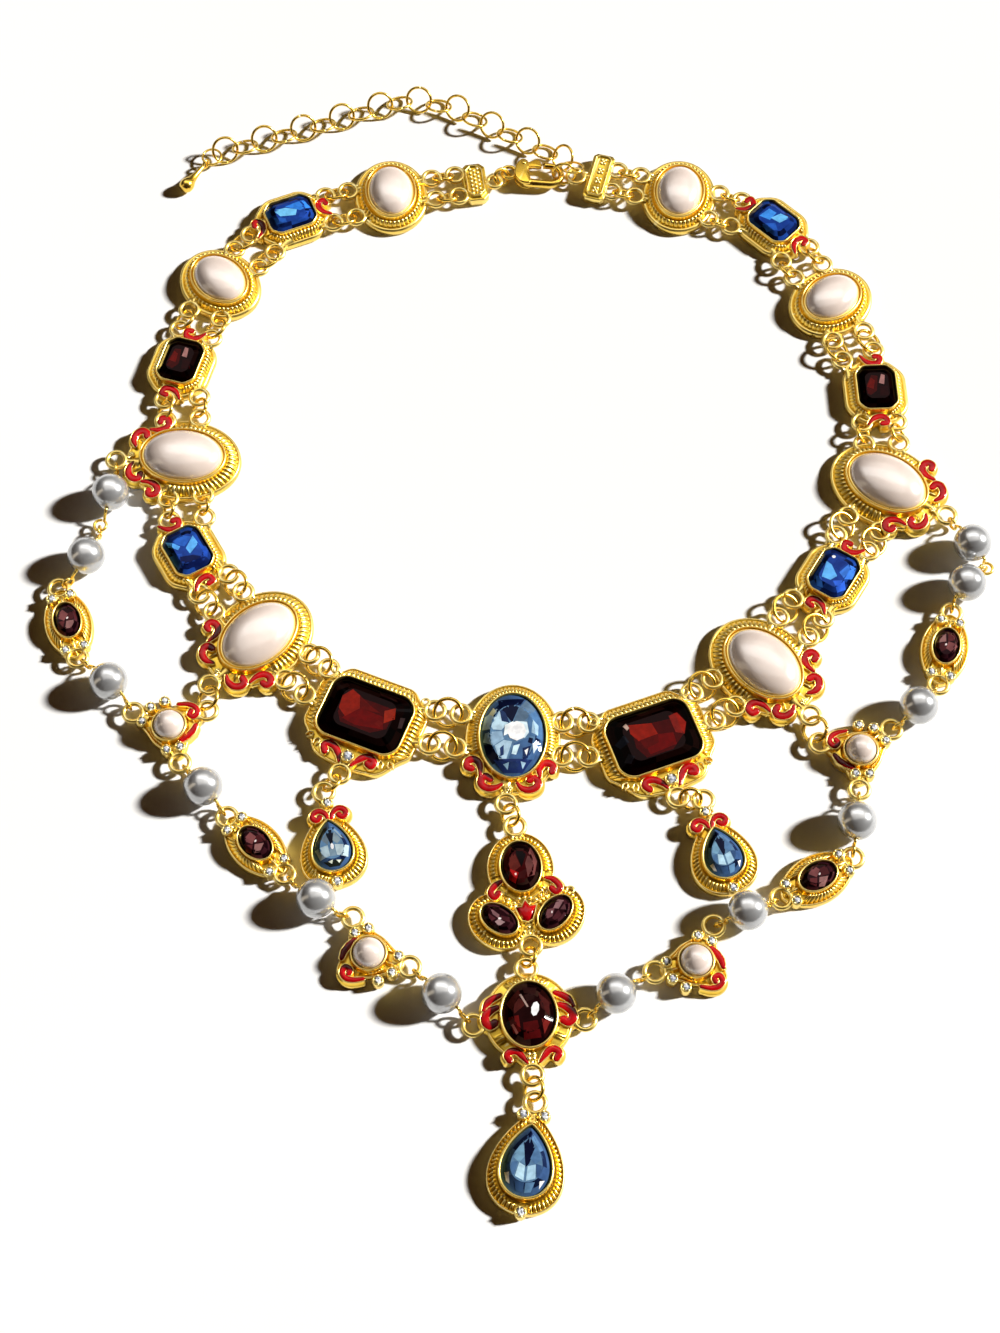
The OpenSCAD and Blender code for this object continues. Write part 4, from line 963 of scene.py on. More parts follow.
BLUE_KITES = {      # by place in COLLAR, in mm
    6: [([(-3.8, -1.6), (-1.0, -1.2), (-0.6, -3.0), (-1.6, -4.8), (-3.2, -3.6)], (0.016, 0.10, 0.46)),
        ([(-3.4, 1.3), (-1.6, 3.3), (0.8, 2.9), (-0.6, 0.5)], (0.02, 0.14, 0.55)),
        ([(-4.9, 1.9), (-3.4, 1.4), (-1.5, 0.5), (-1.9, -0.4), (-4.1, 0.5)], (0.11, 0.42, 0.90)),
        ([(-0.3, 0.1), (1.0, 3.2), (2.3, 1.3), (0.7, -1.2)], (0.13, 0.45, 0.92)),
        ([(2.4, 1.4), (4.6, 0.6), (4.4, -1.8), (1.0, -1.2)], (0.014, 0.08, 0.40)),
        ([(-1.4, -2.0), (1.3, -1.5), (4.2, -2.0), (3.6, -3.7), (-0.8, -4.8)], (0.006, 0.016, 0.10))],
    12: [([(1.0, -0.2), (3.1, 1.7), (4.8, 1.0), (4.3, -1.6), (2.0, -1.8)], (0.05, 0.22, 0.72)),
         ([(-2.8, -1.2), (-1.5, 2.5), (-0.5, 1.7), (0.5, -1.1), (-1.0, -2.0)], (0.14, 0.46, 0.92)),
         ([(-4.0, -0.6), (-2.9, -1.4), (-2.6, -3.6), (-3.9, -3.0)], (0.03, 0.16, 0.55)),
         ([(-0.5, -2.2), (2.0, -2.1), (2.7, -4.6), (0.4, -4.8)], (0.03, 0.15, 0.70)),
         ([(-0.2, 1.5), (1.2, 3.5), (2.9, 2.2), (0.9, 0.2)], (0.01, 0.05, 0.28)),
         (spot(0.1, 3.6, 0.42, 0.42), WHITE)],
    2: [([(-1.3, 1.3), (2.9, 3.4), (4.6, 1.7), (2.3, 0.4)], (0.03, 0.24, 0.74)),
        ([(-3.9, 0.2), (-1.2, 1.0), (1.5, 0.6), (1.3, -1.0), (-2.2, -1.4)], (0.20, 0.55, 0.88)),
        ([(-3.8, -1.6), (-1.0, -1.9), (-0.6, -3.2), (-3.0, -3.4)], (0.02, 0.13, 0.50)),
        ([(2.2, -0.4), (4.4, 0.6), (4.0, -1.4), (1.8, -2.6)], (0.014, 0.08, 0.40))],
    16: [([(-3.4, 0.8), (-1.0, 2.8), (0.6, 1.6), (-1.0, -0.4)], (0.05, 0.30, 0.80)),
         ([(-0.8, 0.2), (1.6, 1.4), (3.6, 0.2), (1.2, -1.2)], (0.18, 0.52, 0.90)),
         ([(-2.8, -1.4), (0.2, -1.3), (0.6, -3.2), (-1.8, -3.3)], (0.02, 0.13, 0.52))],
}
SMALL_GARNET = [
    ([(-3.2, -1.6), (-1.2, 2.6), (0.2, 2.4), (-0.2, -1.4), (-1.6, -2.6)], (0.14, 0.016, 0.012)),
    ([(-2.4, -0.4), (-1.3, 2.0), (-0.5, 1.2), (-0.9, -1.0)], (0.26, 0.035, 0.025)),
    ([(0.4, 0.6), (1.0, 2.9), (1.8, 2.6), (1.5, 0.2)], (0.52, 0.36, 0.34)),
    ([(0.6, -0.2), (2.2, -0.2), (2.4, -2.6), (0.4, -2.8)], (0.07, 0.006, 0.007)),
]
TREFOIL_TOP = [
    ([(-3.3, 2.3), (-1.9, 4.0), (0.0, -0.3), (-2.4, -2.4), (-3.3, -0.6)], (0.12, 0.022, 0.018)),
    ([(0.9, 0.3), (2.0, 4.0), (3.3, 1.0), (2.8, -2.0), (1.4, -2.6)], (0.14, 0.05, 0.05)),
    ([(-1.9, 4.7), (1.9, 4.7), (0.5, 0.4), (0.2, -0.5)], BLACK),
    ([(-2.1, -0.9), (-0.4, -1.7), (-1.0, -3.8), (-2.3, -3.0)], (0.34, 0.012, 0.014)),
    ([(-0.2, -1.6), (1.2, -0.8), (0.8, -3.6), (-0.8, -3.9)], (0.05, 0.008, 0.009)),
    (spot(-1.0, -2.0, 0.2, 0.28), (0.8, 0.6, 0.6)),
]
AMETHYST_STAR = [
    ([(-2.6, 0.6), (-0.3, 0.5), (0.1, -0.2), (-1.4, -0.2)], (0.34, 0.19, 0.20)),
    ([(0.0, 0.5), (1.6, 1.2), (2.4, 0.4), (0.6, -0.1)], (0.12, 0.035, 0.045)),
    ([(0.1, -0.3), (1.5, -0.1), (1.0, -1.5), (-0.2, -1.2)], (0.52, 0.36, 0.36)),
    ([(-2.2, -0.5), (-0.4, -0.5), (-0.8, -1.5), (-1.8, -1.3)], (0.16, 0.05, 0.06)),
    (spot(0.2, -0.1, 0.34, 0.22, 30), (0.95, 0.88, 0.86)),
]
AMETHYST_PLAIN = [
    ([(-2.8, 0.4), (-0.8, 1.4), (0.4, 0.5), (-1.2, -0.3)], (0.24, 0.11, 0.12)),
    ([(0.2, 0.7), (2.2, 1.3), (2.9, 0.2), (0.8, -0.2)], (0.36, 0.21, 0.22)),
    ([(-1.6, -0.5), (0.6, -0.3), (0.2, -1.7), (-1.4, -1.5)], (0.13, 0.04, 0.05)),
    ([(0.9, -0.5), (2.6, -0.3), (1.6, -1.4)], (0.17, 0.08, 0.09)),
    (spot(-0.6, 0.35, 0.3, 0.16, 40), (0.85, 0.75, 0.74)),
]
NAVETTE_FACETS = [
    ([(-2.4, 0.2), (-1.0, 2.0), (0.3, 1.0), (-0.4, -0.6)], (0.30, 0.12, 0.12)),
    ([(0.2, 1.2), (1.6, 1.9), (2.2, 0.2), (0.4, -0.4)], (0.12, 0.03, 0.035)),
    ([(-1.8, -0.8), (-0.3, -0.7), (-0.5, -2.4), (-1.8, -2.0)], (0.18, 0.05, 0.055)),
    ([(0.1, -0.6), (1.9, -0.3), (1.2, -2.2), (0.0, -2.4)], (0.40, 0.22, 0.21)),
    (spot(0.2, 0.1, 0.3, 0.2, 60), (0.9, 0.8, 0.78)),
]
MEDAL_FACETS = [
    ([(-0.85, 0.35), (-0.35, 0.80), (-0.15, 0.25), (-0.55, 0.0)], (0.075, 0.016, 0.014)),
    ([(-0.2, 0.86), (0.35, 0.82), (0.22, 0.42), (-0.08, 0.36)], (0.03, 0.010, 0.010)),
    ([(0.40, 0.66), (0.80, 0.34), (0.76, -0.1), (0.46, 0.16)], (0.055, 0.012, 0.012)),
    ([(-0.80, -0.10), (-0.40, -0.06), (-0.34, -0.56), (-0.62, -0.60)], (0.13, 0.010, 0.010)),
    ([(-0.24, -0.30), (0.30, -0.24), (0.42, -0.76), (-0.24, -0.82)], (0.08, 0.006, 0.007)),
    ([(0.46, -0.20), (0.80, -0.26), (0.54, -0.66)], (0.16, 0.02, 0.018)),
    ([(-0.34, 0.60), (-0.26, 0.62), (0.0, 0.20), (-0.06, 0.18)], (0.42, 0.30, 0.28)),
    ([(-0.70, -0.34), (-0.62, -0.30), (-0.44, -0.60), (-0.52, -0.64)], (0.40, 0.14, 0.13)),
    (spot(0.24, 0.12, 0.15, 0.24, -20), WHITE),
]
END_FACETS = [
    ([(-0.62, 0.05), (-0.22, 0.55), (-0.05, 0.15), (-0.30, -0.10)], (0.22, 0.42, 0.62)),
    ([(-0.24, 0.58), (0.0, 0.88), (0.30, 0.50), (0.10, -0.10), (-0.02, -0.22), (-0.12, 0.10)], NAVY),
    ([(0.30, 0.50), (0.62, 0.10), (0.34, -0.10), (0.12, 0.05)], (0.12, 0.28, 0.52)),
    ([(-0.30, -0.10), (-0.05, -0.18), (-0.04, -0.60), (-0.40, -0.50)], (0.50, 0.70, 0.88)),
    ([(0.05, -0.18), (0.36, -0.10), (0.42, -0.50), (0.06, -0.60)], (0.42, 0.62, 0.82)),
    ([(-0.90, -0.15), (-0.36, -0.08), (-0.44, -0.46), (-0.82, -0.55)], (0.10, 0.24, 0.46)),
    ([(-0.84, -0.42), (-0.66, -0.40), (-0.58, -0.72), (-0.72, -0.66)], (0.90, 0.95, 1.0)),
    ([(0.38, -0.08), (0.90, -0.15), (0.82, -0.50), (0.46, -0.46)], (0.06, 0.16, 0.36)),
    ([(0.60, -0.55), (0.80, -0.50), (0.62, -0.76)], (0.90, 0.95, 1.0)),
    ([(-0.40, -0.62), (0.0, -0.66), (-0.02, -0.92), (-0.30, -0.88)], (0.06, 0.18, 0.40)),
    ([(0.05, -0.66), (0.42, -0.60), (0.30, -0.88), (0.05, -0.92)], (0.16, 0.34, 0.58)),
]
LEFT_DROP_FACETS = [
    ([(-0.55, 0.25), (-0.30, 0.62), (-0.10, 0.15), (-0.20, -0.05)], (0.20, 0.27, 0.36)),
    ([(-0.35, 0.72), (0.28, 0.68), (0.10, 0.10), (0.0, -0.15), (-0.12, 0.15)], (0.02, 0.03, 0.06)),
    ([(0.25, 0.62), (0.62, 0.20), (0.30, -0.05), (0.08, 0.12)], (0.30, 0.38, 0.46)),
    ([(-0.90, -0.15), (-0.20, -0.05), (-0.15, -0.50), (-0.70, -0.60)], (0.42, 0.53, 0.64)),
    ([(0.15, -0.05), (0.88, -0.15), (0.75, -0.60), (0.20, -0.50)], (0.50, 0.60, 0.70)),
    ([(-0.14, -0.20), (0.14, -0.20), (0.18, -0.52), (-0.14, -0.52)], (0.26, 0.36, 0.48)),
    ([(-0.55, -0.68), (0.55, -0.68), (0.25, -0.90), (-0.25, -0.90)], (0.05, 0.06, 0.05)),
    ([(-0.30, -0.70), (-0.05, -0.66), (-0.12, -0.80)], (0.75, 0.78, 0.72)),
    ([(0.12, -0.68), (0.38, -0.70), (0.25, -0.80)], (0.70, 0.74, 0.70)),
    (spot(0.02, -0.12, 0.09, 0.13), (0.85, 0.90, 0.95)),
]

# middle lines of the enamelled scrolls, tail first, in each casting's frame
S_OUT_L = [(-6.7, -8.4), (-6.7, -6.8), (-7.1, -5.5), (-8.2, -4.9), (-9.3, -5.4), (-9.4, -6.5), (-8.6, -6.9)]
S_IN_L = [(-2.4, -10.5), (-3.7, -11.2), (-5.2, -11.3), (-6.4, -10.5), (-6.5, -9.3), (-5.6, -8.7), (-4.8, -9.2)]
S_IN_R = [(0.9, -10.3), (1.8, -11.3), (3.3, -11.7), (4.7, -11.1), (5.1, -9.9), (4.3, -9.1), (3.5, -9.5)]
S_OUT_R = [(5.5, -8.8), (5.4, -7.3), (6.1, -6.1), (7.2, -5.8), (8.2, -6.4), (8.0, -7.5)]
S_PEARL_OUT = [(6.6, -8.1), (6.6, -6.5), (7.2, -5.1), (8.4, -4.5), (9.5, -5.0), (9.6, -6.1), (8.8, -6.4)]
S_PEARL_IN = [(2.2, -10.9), (3.5, -11.5), (5.0, -11.3), (6.0, -10.2), (5.8, -9.1), (4.9, -8.8)]
S_OCT_L = [(-1.3, -10.8), (-1.9, -9.6), (-3.2, -8.4), (-4.6, -8.1), (-5.4, -8.9), (-4.9, -9.9)]
S_OCT_R = [(1.5, -10.9), (2.3, -9.6), (3.2, -8.5), (4.4, -8.0), (5.5, -8.6), (5.4, -9.6), (4.6, -9.4)]
S_SMALL = [(8.8, 2.6), (7.5, 1.5), (6.9, 0.1), (7.2, -1.2), (8.4, -1.6), (8.7, -0.6)]
SCROLLS = {"C": [(S_OUT_L, (1, 1)), (S_IN_L, (1, 1)), (S_IN_R, (1, 1)), (S_OUT_R, (1, 1))],
           "P": [(S_PEARL_OUT, (1, 1)), (S_PEARL_OUT, (-1, 1)), (S_PEARL_IN, (1, 1)), (S_PEARL_IN, (-1, 1))],
           "O": [(S_OCT_L, (1, 1)), (S_OCT_R, (1, 1))],
           "S": [(S_SMALL, (1, 1)), (S_SMALL, (-1, 1))]}


def collar_setting(i, name):
    k = COLLAR[i][0]
    p = Piece("vis_" + name).at(station(i))
    turn = COLLAR[i][3]
    n = DENSE
    if k[0] == 0:
        stone, plate = oval(k[5], k[6], n), oval(k[1], k[2], n)
    else:
        stone = oct_curve(k[5], k[6], 1.9 if k is OCT_BIG else 1.6, 3.2 if k is OCT_BIG else 1.7, n)
        plate = oct_curve(k[1], k[2], k[7], 3.0 if k is OCT_BIG else 4.5, n)
    if k is OCT_BIG:        # the apron that carries the scrolls
        x, y = plate[:, 0], plate[:, 1]
        plate[:, 1] -= 1.9 * smoothstep(6.0, 9.0, -y) * np.clip(1 - ((x - 0.6) / 10.8) ** 2, 0, 1)
    key = {CENTRE: "C", OCT_BIG: "O", PEARL_BIG: "P", OCT_SMALL: "S"}.get(k)
    paths = []
    turned_over = -1 if i in (6, 12) else 1
    for pts, f in SCROLLS.get(key, []):
        if k is OCT_SMALL:
            f = (f[0], f[1] * turned_over)
        paths.append(charted_scroll(p, enamel, pts, 1.6 if k is not OCT_SMALL else 1.4, flip=f))
    extra = []
    if k is OCT_BIG:
        gem_cup(p, gems, (0.1, -9.5), 1.1, 3.0)
        extra.append(np.array([(0.1, -9.5)]))
        for x, y in ((-10.2, 7.9), (10.2, 7.9)):
            p.torus((x, y, 2.0), 0.75, 0.32, nu=18, nv=8)
        for x, y, a in ((7.0, -8.6, 15), (9.0, -8.0, 45), (-7.3, -8.6, -15), (-9.2, -7.6, -45)):
            for s in (-1, 1):
                q, v = rounded_ends(np.array([(x, y) + rot2(t, a) for t in ((s * 0.15, 0.75), (s * 0.62, 0.1), (s * 0.35, -0.7))]), np.array([0.3, 0.6, 0.3]))
                p.ribbon(q, v, [(-1, 0, 1.2), (-1, 0, 2.0), (-0.4, 0, 2.35), (0.4, 0, 2.35), (1, 0, 2.0), (1, 0, 1.2)])
            extra.append(np.array([(x, y)]))
    if k is CENTRE:
        flower(p, (-0.8, -11.3), 2.3, 0.45)
        extra.append(np.array([(-0.8, -11.3)]))
    if k is PEARL_BIG:
        flower(p, (0, -11.4), 2.2, 0.45)
        extra.append(np.array([(0, -11.4)]))
    look = {CENTRE: dict(pitch=0.75, amp=0.42, rim=0.7), OCT_BIG: dict(pitch=0.97, amp=0.5, rim=0.6),
            PEARL_BIG: dict(pitch=1.05, amp=0.5, rim=0.8, collar=True), OCT_SMALL: dict(pitch=0.85, amp=0.5, rim=1.0, lip=0.45),
            PEARL_SMALL: dict(pitch=1.0, amp=0.55, rim=1.1, collar=True, smooth_band=0.3)}[k]
    border(p, stone, plate, scrolls=paths + extra, **look)
    p.at((0, 0, 0))
    for j, e in ((i, -1), (i - 1, 1)):
        if 0 <= j < len(COLLAR) - 1:
            m, u = gap(j)
            for s in (-1, 1):
                cast_loop(p, m + u * e * LOOP_REACH + perp(u) * s * COLLAR[j][6], heading(u * e))
    if COLLAR[i][5] > 0:
        cast_loop(p, hang(i), COLLAR[i][3] + 90)
    p.build([GOLD], "gold", [name])

    # its stone
    if k is CENTRE:
        aquas.at(station(i))
        faceted(aquas, oval(13.3, 18.3, 96), AQUA_EDGE, AQUA_BASE, AQUA_FACETS, t=0.7, nf=16, size=(6.65, 9.15))
    elif k is OCT_BIG:
        garnets.at(station(i))
        faceted(garnets, oct_curve(17.8, 13.2, 1.8, 3.1, 96), GARNET_EDGE, GARNET_BASE, BIG_GARNET_L if i < C0 else BIG_GARNET_R, t=0.66, nf=8, size=(8.9, 6.6))
    elif k is OCT_SMALL:
        small = oct_curve(10.7, 8.3, 1.5, 1.65, 96)
        if i in (4, 14):
            garnets.at(station(i))
            faceted(garnets, small, GARNET_EDGE, GARNET_BASE, SMALL_GARNET, turn=turn, z1=4.3)
        else:
            sapphires.at(station(i))
            faceted(sapphires, small, BLUE_EDGE, BLUE_BASE, BLUE_KITES[i], turn=turn, z1=4.3)
    else:
        w, h = k[5] - 0.9, k[6] - 0.9
        pearls.at(station(i))
        pearl_dome(pearls, w, h, PEARL_TOP if k is PEARL_BIG else PEARL_TOP - 0.5)


names = {C0: "setting_centre"}
for n_ in range(1, 9):
    names[C0 - n_] = f"setting_l{n_}"
    names[C0 + n_] = f"setting_r{n_}"
for i, name in sorted(names.items()):
    collar_setting(i, name)


# ---------------------------------------------------------------- end bars
def bars():
    HOOK_RING = placed(CLASP, (HOOK_X + HOOK_R + 0.7, 0))
    for i, name, hole, a, r in ((0, "end_bar_l", np.array([-3.9, 141.3]), 184, 1.6), (len(COLLAR) - 1, "end_bar_r", HOOK_RING + np.array([2.8, 0]), 0, LOOP_R)):
        k = COLLAR[i][0]
        p = Piece("vis_" + name).at(station(i))
        n = 160
        plate, top = oct_curve(k[1], k[2], k[7], 0.4, n), oct_curve(k[3], k[4], k[7], 0.4, n)
        rows = [(off(top, -0.55), 2.45), (off(top, -0.4), 2.5), (off(top, -0.25), 2.95), (off(top, -0.08), 3.0), (off(top, 0.05), 2.85),
                (off(top, 0.1), 2.3), (off(plate, -0.35), 2.15), (off(plate, -0.1), 2.15), (off(plate, 0), 1.95), (off(plate, 0), 0.25), (off(plate, -0.2), 0.0)]
        p.rings([z3(c, z) for c, z in rows], cap_first=True, cap_last=True)
        h = k[4] / 2 - 0.9
        if i == 0:
            m = 7
            for j in range(m):
                y = -h + 2 * h * j / (m - 1)
                for s in (-1, 1):
                    p.ball((s * 0.85, y, 2.5), 0.46, 8, 5)
                if j < m - 1:
                    p.ball((0, y + h / (m - 1), 2.6), 0.42, 8, 5)
        else:
            for j in range(4):
                y = -h + 0.7 + (2 * h - 1.4) * j / 3
                for g in range(4):
                    q = math.radians(90 * g + 45)
                    p.ball((0.55 * math.cos(q), y + 0.7 * math.sin(q), 2.5), 0.42, 8, 5)
                p.ball((0, y, 2.65), 0.33, 8, 5)
        p.at((0, 0, 0))
        j = 0 if i == 0 else i - 1
        e = -1 if i == 0 else 1
        m, u = gap(j)
        for s in (-1, 1):
            cast_loop(p, m + u * e * LOOP_REACH + perp(u) * s * COLLAR[j][6], heading(u * e), LOOP_R, 2.0)
        cast_loop(p, hole, a, r, 1.8)
        p.build([GOLD], "gold", [name])
    return HOOK_RING


HOOK_RING = bars()


# ---------------------------------------------------------------- swag links
def triangle_link(k, name):
    f = TRI[k]
    m = f[3]
    p = Piece("vis_" + name).at(f)
    n = DENSE
    plate = tri_curve(0, n)
    stone = oval(6.6, 6.6, n)

    def mir(q):
        return (q[0], q[1] * m)
    red1 = charted_scroll(p, enamel, [mir(q) for q in ((0.4, 5.2), (-1.2, 5.9), (-2.8, 6.0), (-3.9, 5.1), (-3.6, 3.9), (-2.6, 4.1), (-2.6, 4.8))], 1.2, ends=(0.6, 1.0))
    bar_ = np.array([mir((-4.9, 2.2)), mir((-4.9, 0.9)), mir((-4.4, -0.6)), mir((-3.7, -1.9))])
    q, v = rounded_ends(bar_, np.array([1.0, 1.3, 1.3, 1.0]), 0.45)
    p.ribbon(q, v, [(-1, -0.2, 0.4), (-1, 0, 2.2), (-1, 0.1, 2.4), (-1, 0.22, 2.35), (-1, 0.3, 2.15), (1, -0.3, 2.15), (1, -0.22, 2.35), (1, -0.1, 2.4), (1, 0, 2.2), (1, 0.2, 0.4)])
    q, v = rounded_ends(bar_, np.array([1.0, 1.3, 1.3, 1.0]))
    enamel.frame = p.frame
    enamel.ribbon(q, v, [(-1, 0, 2.1), (-1, 0.02, 2.38), (-0.5, 0, 2.5), (0.5, 0, 2.5), (1, -0.02, 2.38), (1, 0, 2.1)])
    spots = [red1, bar_]
    for c in ((3.4, 4.6), (5.5, 2.3), (5.7, -1.3), (-4.1, -3.3), (-1.8, -5.0)):
        gem_cup(p, gems, mir(c), 0.86, 2.75)
        spots.append(np.array([mir(c)]))
    border(p, stone, plate, 0.75, 0.35, spots, zb=3.5, lip=0.42, rib_top=2.6, rib_low=1.4, rim=0.6)
    p.at((0, 0, 0))
    for j in ((-1, 0, 1) if f[4] else (-m, 0)):
        cast_loop(p, tri_hole(k, j), f[2] + j * TRI_A + 180, LOOP_R, 1.6)
    p.build([GOLD], "gold", [name])
    pearls_small.at(f)
    rows = [z3(oval(0.4, 0.4, 40), 6.1)]
    for a in np.linspace(80, 0, 11):
        rows.append(z3(oval(6.3 * math.cos(math.radians(a)), 6.3 * math.cos(math.radians(a)), 40), 2.95 + 3.15 * math.sin(math.radians(a))))
    rows.append(z3(oval(6.2, 6.2, 40), 2.2))
    pearls_small.rings(rows, cap_first=True)


def navette_link(k, name):
    f = NAV[k]
    p = Piece("vis_" + name).at(f)
    n = DENSE
    plate, stone = navette(17, 10.2, n), oval(8, 5.4, n)
    spots = []
    for c in ((-6.3, -2.0), (-6.3, 2.0), (6.3, -2.0), (6.3, 2.0)):
        gem_cup(p, gems, c, 0.86, 2.75)
        spots.append(np.array([c]))
    border(p, stone, plate, 0.8, 0.35, spots, zb=3.6, lip=0.45, rib_top=2.7, rib_low=1.4, rim=0.6)
    p.at((0, 0, 0))
    for e in (-1, 1):
        cast_loop(p, nav_hole(k, e), f[2] + 90 + 90 * e, LOOP_R, 1.6)
    p.build([GOLD], "gold", [name])
    amethysts.at(f)
    faceted(amethysts, oval(7.9, 5.3, 64), AMETHYST_EDGE, AMETHYST_BASE, NAVETTE_FACETS, turn=f[2] if k != 2 else f[2] + 180, z0=3.0, z1=4.1)


triangle_link(0, "triangle_l1")
triangle_link(1, "triangle_l2")
triangle_link(2, "triangle_r1")
triangle_link(3, "triangle_r2")
navette_link(0, "navette_l1")
navette_link(1, "navette_l2")
navette_link(2, "navette_r1")
navette_link(3, "navette_r2")


# ---------------------------------------------------------------- pendants
def side_drop(f, name, seed):
    p = Piece("vis_" + name).at(f)
    n = DENSE
    plate, stone = pear(13.8, 17, n), pear(7.9, 10.6, n)
    dx = 0.35 if seed == 2 else -0.55
    curl = np.array([(0.4, 6.2), (0.8, 7.2), (1.9, 7.9), (3.0, 7.6), (3.4, 6.7), (2.7, 6.0), (2.0, 6.5)])
    spots = [charted_scroll(p, enamel, curl * (e, 1) + (dx, 0), 1.2, z=2.75, ends=(0.7, 1.0)) for e in (-1, 1)]
    for c in ((dx, 9.5), (0, -7.5)):
        gem_cup(p, gems, c, 0.9, 2.8)
        spots.append(np.array([c]))
    border(p, stone, plate, 0.8, 0.45, spots, zb=3.6, lip=0.5, rib_top=2.5, rib_low=1.7, rim=0.6, smooth_band=0.25, raised=0.25)
    cast_loop(p, SIDE_HOLE, -90, LOOP_R, 2.4)
    p.build([GOLD], "gold", [name])
    aquas.at(f)
    faceted(aquas, pear(7.8, 10.5, 64), AQUA_EDGE, AQUA_BASE, END_FACETS if seed == 5 else LEFT_DROP_FACETS, z0=3.1, z1=4.3, size=(3.9, 5.2))


side_drop(SIDE_L, "side_drop_l", 2)
side_drop(SIDE_R, "side_drop_r", 5)


def trefoil():
    p = Piece("vis_trefoil_drop").at(TREFOIL)
    n = DENSE
    top_spots = [charted_scroll(p, enamel, [(-3.9, -2.3), (-5.0, -2.8), (-6.1, -3.6), (-6.6, -4.6), (-6.0, -5.5), (-5.2, -4.9)], 1.35),
                 charted_scroll(p, enamel, [(4.8, -2.7), (6.0, -3.1), (7.0, -4.2), (7.2, -5.2), (6.4, -5.8), (5.7, -5.1)], 1.35)]
    border(p, oval(7.9, 10.3, n), oval(13.6, 15.6, n), 0.8, 0.38, top_spots + [np.array([(x, -6.6)]) for x in (-3, -1, 1, 3)], zb=3.6, lip=0.45, rib_top=2.4, rib_low=1.75, rim=0.5, smooth_band=0.4, raised=0.3)
    for e in (-1, 1):
        c = np.array([e * 5.6, -10.4])
        base = placed((TREFOIL[0], TREFOIL[1], TREFOIL[2]), c)
        p.at((base[0], base[1], TREFOIL[2] + e * 42))
        q = rot2(np.array([(0, -7.0), (0, -9.2), (0, -11.2), (0, -13.5), (e * 5.7, -4.8)]) - c, -e * 42)
        border(p, oval(8, 5.1, n), oval(13.2, 11.4, n), 0.85, 0.5, [q], zb=3.5, lip=0.45, rib_top=2.3, rib_low=1.7, rim=0.5, smooth_band=0.35, raised=0.35)
        amethysts.at(p.frame)
        faceted(amethysts, oval(7.9, 5.0, 64), AMETHYST_EDGE, AMETHYST_BASE, AMETHYST_STAR if e < 0 else AMETHYST_PLAIN, turn=0, z0=3.0, z1=4.05)
    p.at(TREFOIL)
    # five-pointed crown of enamel and its gold edge
    star = np.array([(0, -7.0), (0.75, -8.3), (2.0, -8.2), (1.55, -9.6), (1.0, -10.9), (0, -11.3), (-1.0, -10.9), (-1.55, -9.6), (-2.0, -8.2), (-0.75, -8.3)])[::-1]
    big = star + normals(star) * 0.32
    big = (star - star.mean(0)) * 1.22 + star.mean(0)
    p.rings([z3(star, 2.45), z3(star * 0.4 + big * 0.6, 2.62), z3(big, 2.5), z3(big, 0.6)], cap_first=False)
    enamel.frame = p.frame
    small = (star - star.mean(0)) * 0.5 + star.mean(0)
    enamel.rings([z3(small, 2.72), z3(star, 2.55), z3(star, 2.2)], cap_first=True)
    for x, y, r in ((-3.3, -6.3, 0.5), (-2.2, -7.2, 0.42), (-1.2, -6.4, 0.45), (1.1, -6.5, 0.45), (2.2, -7.0, 0.5), (3.2, -6.2, 0.42), (-3.0, -7.9, 0.38),
                    (3.1, -7.8, 0.38), (0, -6.2, 0.4), (-1.9, -12.2, 0.42), (1.9, -12.3, 0.42), (0, -12.5, 0.5), (-1.0, -13.3, 0.4), (1.0, -13.4, 0.4), (-2.9, -13.0, 0.35), (2.9, -13.1, 0.35)):
        p.ball((x, y, 2.2), r, 9, 6)
    p.torus((9.3, -5.7, 1.8), 0.7, 0.3, nu=18, nv=8)
    cast_loop(p, TRE_TOP, -90, LOOP_R, 2)
    cast_loop(p, TRE_LOW, 90, LOOP_R, 2.4)
    p.build([GOLD], "gold", ["trefoil_drop"])
    garnet_oval.at(TREFOIL)
    faceted(garnet_oval, oval(7.8, 10.2, 64), GARNET_EDGE, GARNET_BASE, TREFOIL_TOP, turn=TREFOIL[2], z0=3.1, z1=4.3)


